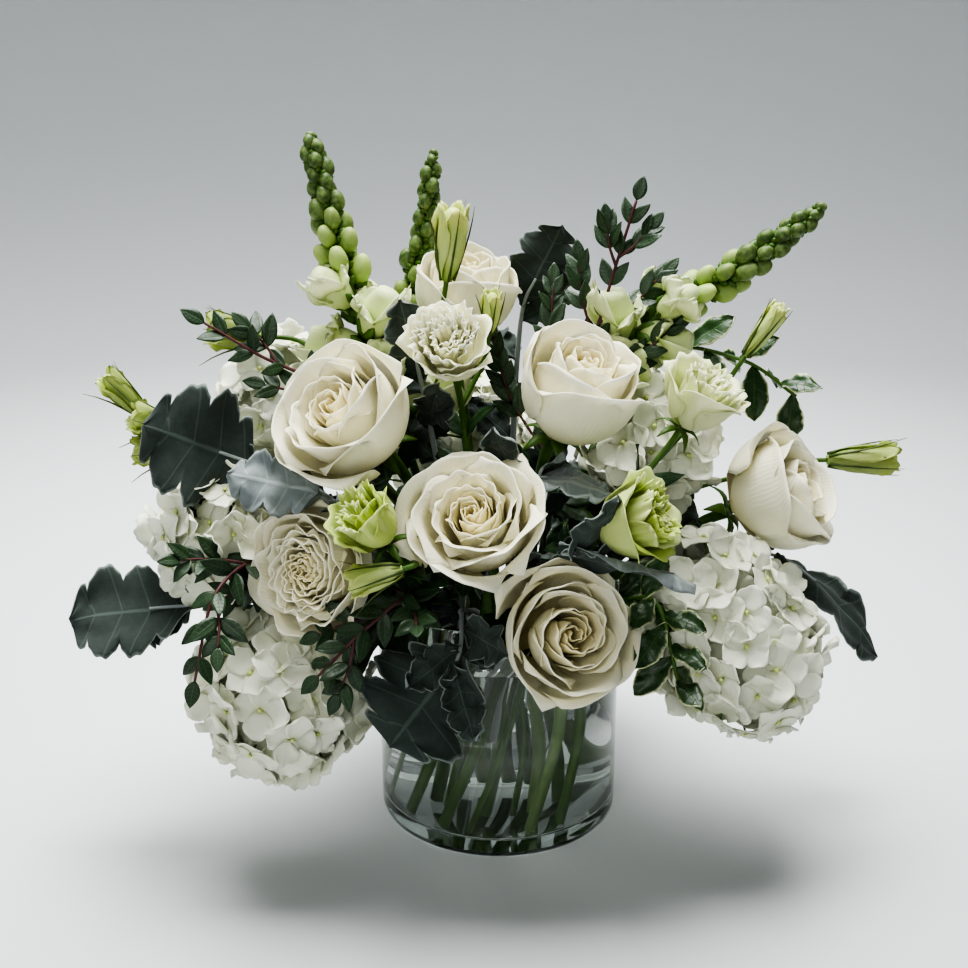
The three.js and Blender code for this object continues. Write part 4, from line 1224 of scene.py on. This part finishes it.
def dusty_miller(name):
    """A dusty miller leaf on its stalk, with small leaves low on the stalk."""
    one = DUSTY[name]
    base = Vector(one["base"])
    along = Vector(one["tip"]) - base
    length = along.length
    along.normalize()
    stem = Stem(name, [*one["via"], base, base + along * 0.3 * length])
    piece = Piece(f"{name}_leaf", LOOKS["felt top"], LOOKS["felt under"])
    stem.draw(piece, material=1, taper=0.35, sides=8)
    half = one["width"] * 1.06
    dusty_leaf(piece, lay(base - along * 4, along, one["over"]), length + 4, half, one["arch"], 0.1)
    draw = random.Random(SEED + len(name) * 7 + int(length))
    for i in range(SMALL_LEAVES):
        point, way = stem.at(mix(0.3, 0.85, i / (SMALL_LEAVES - 1)))
        outward = Vector((point.x, point.y, 0)).normalized()
        side = way.cross(outward).normalized() * (1 if i % 2 else -1)
        heading = way * 0.5 + side * 0.7 + outward * draw.uniform(0.0, 0.5)
        size = draw.uniform(34, 46)
        up = Vector(one["over"]) + outward * 0.4
        dusty_leaf(piece, lay(point, heading, up), size, size * 0.3, 0.15, draw.uniform(0.1, 0.6))
    piece.finish([name], thickness=0.6, under={0: 1})


def paired_leaves(piece, twig, first, pairs, size, draw, upright=1.0):
    """Narrow leaves in crossed pairs along a twig, smaller to its tip, and one at the end."""
    for i in range(pairs):
        share = (i + 0.4) / pairs
        point, along = twig.at(mix(first, 0.99, share))
        side = FRONT.cross(along).normalized()
        side.rotate(Matrix.Rotation((0.5 if i % 2 else -0.5) + draw.uniform(-0.25, 0.25), 3, along))
        length = size * mix(1.05, 0.72, share) * draw.uniform(0.9, 1.1)
        for hand in (-1, 1):
            heading = side * hand + along * upright * draw.uniform(0.7, 1.3)
            up = FRONT + Vector([draw.uniform(-0.4, 0.4) for _ in range(3)])
            leaf(piece, lay(point, heading, up), length, 0.23 * length, oval, arch=0.12, fold=0.15,
                 wave=1.0, columns=4, rows=8, material=0, tint=draw.uniform(0, 0.6))
    point, along = twig.at(1.0)
    leaf(piece, lay(point, along, FRONT), size * 0.7, 0.2 * size, oval, columns=4, rows=8)


def eucalyptus(name):
    """A parvifolia spray: narrow leaves in crossed pairs on a purple-red twig."""
    one = SPRAYS[name]
    stem = Stem(name, one["route"])
    piece = Piece(f"{name}_spray", LOOKS["eucalyptus leaf"], LOOKS["purple stem"])
    stem.draw(piece, material=1, taper=0.6, sides=7)
    draw = random.Random(SEED + one["pairs"] + len(name))
    paired_leaves(piece, stem, one["shoot"], one["pairs"], one["leaf"], draw, one["upright"])
    for share, hand, length in one["twigs"]:
        point, along = stem.at(share)
        right = along.cross(FRONT).normalized() * hand
        way = right * 0.55 + along * 0.75 + FRONT * draw.uniform(-0.4, 0.1)
        middle = point + way.normalized() * 0.5 * length
        end = middle + (way + along * 0.5).normalized() * 0.5 * length
        twig = Twig([point, middle, end])
        last = len(twig.bend) - 1
        radii = [mix(1.1, 0.6, i / last) for i in range(last + 1)]
        piece.tube(twig.bend, radii, sides=6, material=1)
        pairs = max(2, round(length / 15))
        paired_leaves(piece, twig, 0.3, pairs, one["leaf"] * 0.9, draw, one["upright"])
    piece.finish([name], thickness=0.4)


def pittosporum(name):
    """A variegated pittosporum spray: waved, cream-edged leaves in whorls."""
    one = PITTOSPORUM[name]
    stem = Stem(name, one["route"])
    piece = Piece(f"{name}_spray", LOOKS["pittosporum leaf"], LOOKS["rose stem"])
    stem.draw(piece, material=1, taper=0.6, sides=7)
    draw = random.Random(SEED + one["leaves"])
    for i in range(one["leaves"]):
        point, along = stem.at(mix(one["shoot"], 0.99, i / (one["leaves"] - 1)))
        side = FRONT.cross(along).normalized()
        side.rotate(Matrix.Rotation(2.2 * i, 3, along))
        heading = side + along * draw.uniform(0.5, 0.9)
        size = one["leaf"] * draw.uniform(0.8, 1.05)
        leaf(piece, lay(point, heading, (0.1, -0.6, 0.8)), size, 0.27 * size, wavy, arch=0.2,
             fold=0.1, wave=4.0, columns=6, rows=12, tint=draw.uniform(0, 0.6))
    piece.finish([name], thickness=0.5)


def turned(name, profile, material, steps=128):
    """A body turned round the Z axis from a profile of radius and height in millimetres."""
    bm = bmesh.new()
    verts = [bm.verts.new((x, 0, z)) for x, z in profile]
    edges = [bm.edges.new(pair) for pair in zip(verts, verts[1:])]
    bmesh.ops.spin(bm, geom=verts + edges, axis=(0, 0, 1), cent=(0, 0, 0), angle=2 * math.pi,
                   steps=steps, use_merge=True, use_duplicate=False)
    bmesh.ops.remove_doubles(bm, verts=bm.verts, dist=1e-4)
    bmesh.ops.recalc_face_normals(bm, faces=bm.faces)
    return mesh_object(bm, name, [material])


def rounded(cx, cz, radius, start, end, steps=6):
    """Profile points on an arc, its angles in degrees."""
    return [
        (
            cx + radius * math.cos(math.radians(mix(start, end, i / steps))),
            cz + radius * math.sin(math.radians(mix(start, end, i / steps))),
        )
        for i in range(steps + 1)
    ]


def make_vase():
    outer, inner = VASE_RADIUS, VASE_RADIUS - VASE_WALL
    foot, lip, sump = FOOT_ROUNDING, VASE_WALL / 2, FLOOR_ROUNDING
    profile = [(0, RAISED_UNDERSIDE), (outer - 16, 1.0), (outer - 11, 0)]
    profile += rounded(outer - foot, foot, foot, -90, 0)
    profile += [(outer, 20), (outer, 80)]
    profile += rounded(outer - lip, VASE_HEIGHT - lip, lip, 0, 180, 10)
    profile += [(inner, 80), (inner, VASE_FLOOR + 20)]
    profile += rounded(inner - sump, VASE_FLOOR + sump, sump, 0, -90)
    profile += [(inner - 14, VASE_FLOOR), (0, VASE_FLOOR)]
    vase = turned("vase_glass", profile, LOOKS["glass"])
    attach(vase, "root")
    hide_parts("vase")


def make_water(level):
    # The water reaches a little into the glass, so that no film of air lies between them.
    inner = VASE_RADIUS - VASE_WALL + GLASS_OVERLAP
    bottom = VASE_FLOOR - GLASS_OVERLAP
    sump = FLOOR_ROUNDING
    profile = [(0, bottom), (inner - sump - 8, bottom)]
    profile += rounded(inner - sump, bottom + sump, sump, -90, 0)
    profile += [(inner, 60), (inner, level + MENISCUS), (inner - 1.0, level + 0.5)]
    profile += [(inner - 2.5, level), (inner - 12, level), (0, level)]
    water = turned("vase_water", profile, LOOKS["water"])
    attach(water, "root")
    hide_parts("water")


# ---- what a user may change ----
def color_property(name, description, color):
    return FloatVectorProperty(
        name=name, description=description, size=4, min=0, max=1, subtype="COLOR", default=color
    )


class PlantSettings(bpy.types.PropertyGroup):
    """The sizes and colours of the petals, leaves, water and glass"""

    petal_thickness: FloatProperty(
        name="Petal thickness", description="Of a rose petal", default=0.45 * MM, min=0.1 * MM,
        precision=5, unit="LENGTH", subtype="DISTANCE",
    )
    sepal_length: FloatProperty(
        name="Sepal length", description="Of a hydrangea floret, from its eye to its rim",
        default=16.5 * MM, min=5 * MM, precision=4, unit="LENGTH", subtype="DISTANCE",
    )
    water_level: FloatProperty(
        name="Water level", description="Above the table", default=WATER_LEVEL * MM,
        min=(VASE_FLOOR + 20) * MM, max=(VASE_HEIGHT - 10) * MM, precision=3, unit="LENGTH",
        subtype="DISTANCE",
    )
    rose: color_property("Rose", "Body of a rose petal", linear("f7f6de"))
    hydrangea: color_property("Hydrangea", "Body of a hydrangea sepal", linear("f7f8e6"))
    lisianthus: color_property("Lisianthus", "Body of a lisianthus petal", linear("f8f6d4"))
    snapdragon: color_property("Snapdragon", "Body of an open snapdragon lip", linear("e8edc6"))
    felt: color_property("Dusty miller", "Upper side of a dusty miller leaf", linear("363f3a"))
    eucalyptus: color_property("Eucalyptus", "Blade of a eucalyptus leaf", linear("22381f"))
    glass: color_property(
        "Glass", "Tint of the glass where light goes far through it", (0.6, 0.78, 0.7, 1)
    )


class StageSettings(bpy.types.PropertyGroup):
    """The floor, the light and the view"""

    distance: FloatProperty(
        name="Camera distance", description="From the middle of the vase to the front",
        default=0.813, min=0.3, unit="LENGTH", subtype="DISTANCE",
    )
    height: FloatProperty(
        name="Camera height", description="Above the table", default=0.489, unit="LENGTH",
        subtype="DISTANCE",
    )
    aside: FloatProperty(
        name="Camera offset", description="To the right of the vase's middle", default=-0.0093,
        unit="LENGTH", subtype="DISTANCE",
    )
    pitch: FloatProperty(
        name="Camera pitch", description="Downward from level", default=math.radians(18.6),
        unit="ROTATION", subtype="ANGLE",
    )
    lens: FloatProperty(
        name="Lens", description="Focal length", default=52.07, min=10, subtype="DISTANCE_CAMERA"
    )
    floor_color: color_property(
        "Floor colour", "Seamless paper under and behind the vase", linear("d6d9da")
    )
    sky: FloatProperty(
        name="Surrounding light", description="Strength of the light from all round",
        default=0.15, min=0,
    )
    overhead: FloatProperty(
        name="Overhead light", description="Watts of the softbox above", default=21, min=0
    )
    fill: FloatProperty(
        name="Front light", description="Watts of the fill in front", default=0.6, min=0
    )


def make_stage(settings):
    # A round paper cove in millimetres, so that every side has the same quiet ground.
    flat, bend, high = 1300, 400, 1700
    profile = [(0, 0), (300, 0), (700, 0), *rounded(flat, bend, bend, -90, 0, 12)]
    profile.append((flat + bend, high))
    cove = turned("paper_cove", profile, cove_material(settings))

    world = bpy.data.worlds.new("Soft room")
    bpy.context.scene.world = world
    world.use_nodes = True
    ground = world.node_tree.nodes["Background"]
    ground.inputs["Color"].default_value = linear("e8ebec")
    ground.inputs["Strength"].default_value = settings.sky
    softbox(
        "Overhead softbox", (-0.1, 0.34, 1.6), target=(-0.1, 0.3, 0), size=1.1,
        power=settings.overhead, spread=1.75,
    )
    softbox(
        "Front fill", (-0.4, -1.2, 0.8), target=(0, 0, 0.25), size=0.8,
        power=settings.fill, spread=0.8,
    )
    bpy.context.scene.view_settings.look = "AgX - High Contrast"

    camera = bpy.data.cameras.new("Front view")
    camera.lens = settings.lens
    camera.sensor_width = SENSOR_WIDTH
    holder = add_object("Front view", camera)
    holder.location = (settings.aside, -settings.distance, settings.height)
    holder.rotation_euler = (math.pi / 2 - settings.pitch, 0, 0)
    bpy.context.scene.camera = holder


def softbox(name, place, target, size, power, spread):
    """A square soft light turned to a point: size in metres, power in watts, spread in radians."""
    lamp = bpy.data.lights.new(name, "AREA")
    lamp.shape = "SQUARE"
    lamp.size = size
    lamp.energy = power
    lamp.spread = spread
    holder = add_object(name, lamp)
    holder.location = place
    holder.rotation_euler = (Vector(target) - Vector(place)).to_track_quat("-Z", "Y").to_euler()


def cove_material(settings):
    """Seamless background paper: matt, plain, with the faintest tooth."""
    made, tree, shader = start_material("Background paper", Roughness=0.75, Specular_IOR_Level=0.2)
    part = fitted(tree, grain_of(tree, Scale=9.0, Detail=3.0), 0, 1, 0, 0.05)
    color = blend_color(tree, part, *colors(settings.floor_color, "aeb4b6"))
    tree.links.new(color, shader.inputs["Base Color"])
    return made


# ---- operators ----
class CENTERPIECE_OT_finishes(bpy.types.Operator):
    """Make the petal, leaf, bark, glass and water finishes"""

    bl_idname = "centerpiece.finishes"
    bl_label = "Finishes"

    def execute(self, context):
        LOOKS.update(make_materials(context.scene.centerpiece_plants))
        return {"FINISHED"}


class CENTERPIECE_OT_vase(bpy.types.Operator):
    """Add the glass cylinder and its water"""

    bl_idname = "centerpiece.vase"
    bl_label = "Vase and water"

    def execute(self, context):
        make_vase()
        make_water(context.scene.centerpiece_plants.water_level / MM)
        return {"FINISHED"}


class CENTERPIECE_OT_roses(bpy.types.Operator):
    """Add the roses on their stems"""

    bl_idname = "centerpiece.roses"
    bl_label = "Roses"

    def execute(self, context):
        for name in ROSES:
            rose_bloom(name, context.scene.centerpiece_plants.petal_thickness / MM)
            bloom_stem(name, ROSES, "rose stem")
        return {"FINISHED"}


class CENTERPIECE_OT_hydrangeas(bpy.types.Operator):
    """Add the hydrangea heads on their stems"""

    bl_idname = "centerpiece.hydrangeas"
    bl_label = "Hydrangeas"

    def execute(self, context):
        for name in HYDRANGEAS:
            hydrangea_head(name, context.scene.centerpiece_plants.sepal_length / MM)
            bloom_stem(name, HYDRANGEAS, "pale stem")
        return {"FINISHED"}


class CENTERPIECE_OT_lisianthus(bpy.types.Operator):
    """Add the lisianthus blooms and buds"""

    bl_idname = "centerpiece.lisianthus"
    bl_label = "Lisianthus"

    def execute(self, context):
        for name in BLOOMS:
            ruffled_bloom(name)
            bloom_stem(name, BLOOMS, "rose stem")
        for name in BUD_PLANTS:
            bud_plant(name)
        return {"FINISHED"}


class CENTERPIECE_OT_snapdragons(bpy.types.Operator):
    """Add the snapdragon spikes"""

    bl_idname = "centerpiece.snapdragons"
    bl_label = "Snapdragons"

    def execute(self, context):
        for name in SNAPDRAGONS:
            snapdragon(name)
        return {"FINISHED"}


class CENTERPIECE_OT_dusty_miller(bpy.types.Operator):
    """Add the dusty miller leaves"""

    bl_idname = "centerpiece.dusty_miller"
    bl_label = "Dusty miller"

    def execute(self, context):
        for name in DUSTY:
            dusty_miller(name)
        return {"FINISHED"}


class CENTERPIECE_OT_sprays(bpy.types.Operator):
    """Add the eucalyptus and pittosporum sprays"""

    bl_idname = "centerpiece.sprays"
    bl_label = "Leaf sprays"

    def execute(self, context):
        for name in SPRAYS:
            eucalyptus(name)
        for name in PITTOSPORUM:
            pittosporum(name)
        return {"FINISHED"}


class CENTERPIECE_OT_stage(bpy.types.Operator):
    """Add the floor, the lights and the camera"""

    bl_idname = "centerpiece.stage"
    bl_label = "Stage"

    def execute(self, context):
        make_stage(context.scene.centerpiece_stage)
        return {"FINISHED"}


class CENTERPIECE_PT_panel(bpy.types.Panel):
    """Lists the arrangement's steps and settings"""

    bl_idname = "CENTERPIECE_PT_panel"
    bl_label = "Centerpiece"
    bl_space_type = "VIEW_3D"
    bl_region_type = "UI"
    bl_category = "Centerpiece"

    def draw(self, context):
        for operator in OPERATORS:
            self.layout.operator(operator.bl_idname)
        for settings in (context.scene.centerpiece_plants, context.scene.centerpiece_stage):
            for key in type(settings).__annotations__:
                self.layout.prop(settings, key)


OPERATORS = (
    CENTERPIECE_OT_finishes,
    CENTERPIECE_OT_stage,
    CENTERPIECE_OT_vase,
    CENTERPIECE_OT_roses,
    CENTERPIECE_OT_hydrangeas,
    CENTERPIECE_OT_lisianthus,
    CENTERPIECE_OT_snapdragons,
    CENTERPIECE_OT_dusty_miller,
    CENTERPIECE_OT_sprays,
)
CLASSES = (PlantSettings, StageSettings, *OPERATORS, CENTERPIECE_PT_panel)


def register():
    for item in CLASSES:
        bpy.utils.register_class(item)
    bpy.types.Scene.centerpiece_plants = PointerProperty(type=PlantSettings)
    bpy.types.Scene.centerpiece_stage = PointerProperty(type=StageSettings)


def unregister():
    del bpy.types.Scene.centerpiece_stage
    del bpy.types.Scene.centerpiece_plants
    for item in reversed(CLASSES):
        bpy.utils.unregister_class(item)


def main():
    register()
    for operator in OPERATORS:
        group, step = operator.bl_idname.split(".")
        getattr(getattr(bpy.ops, group), step)()


if __name__ == "__main__":
    main()
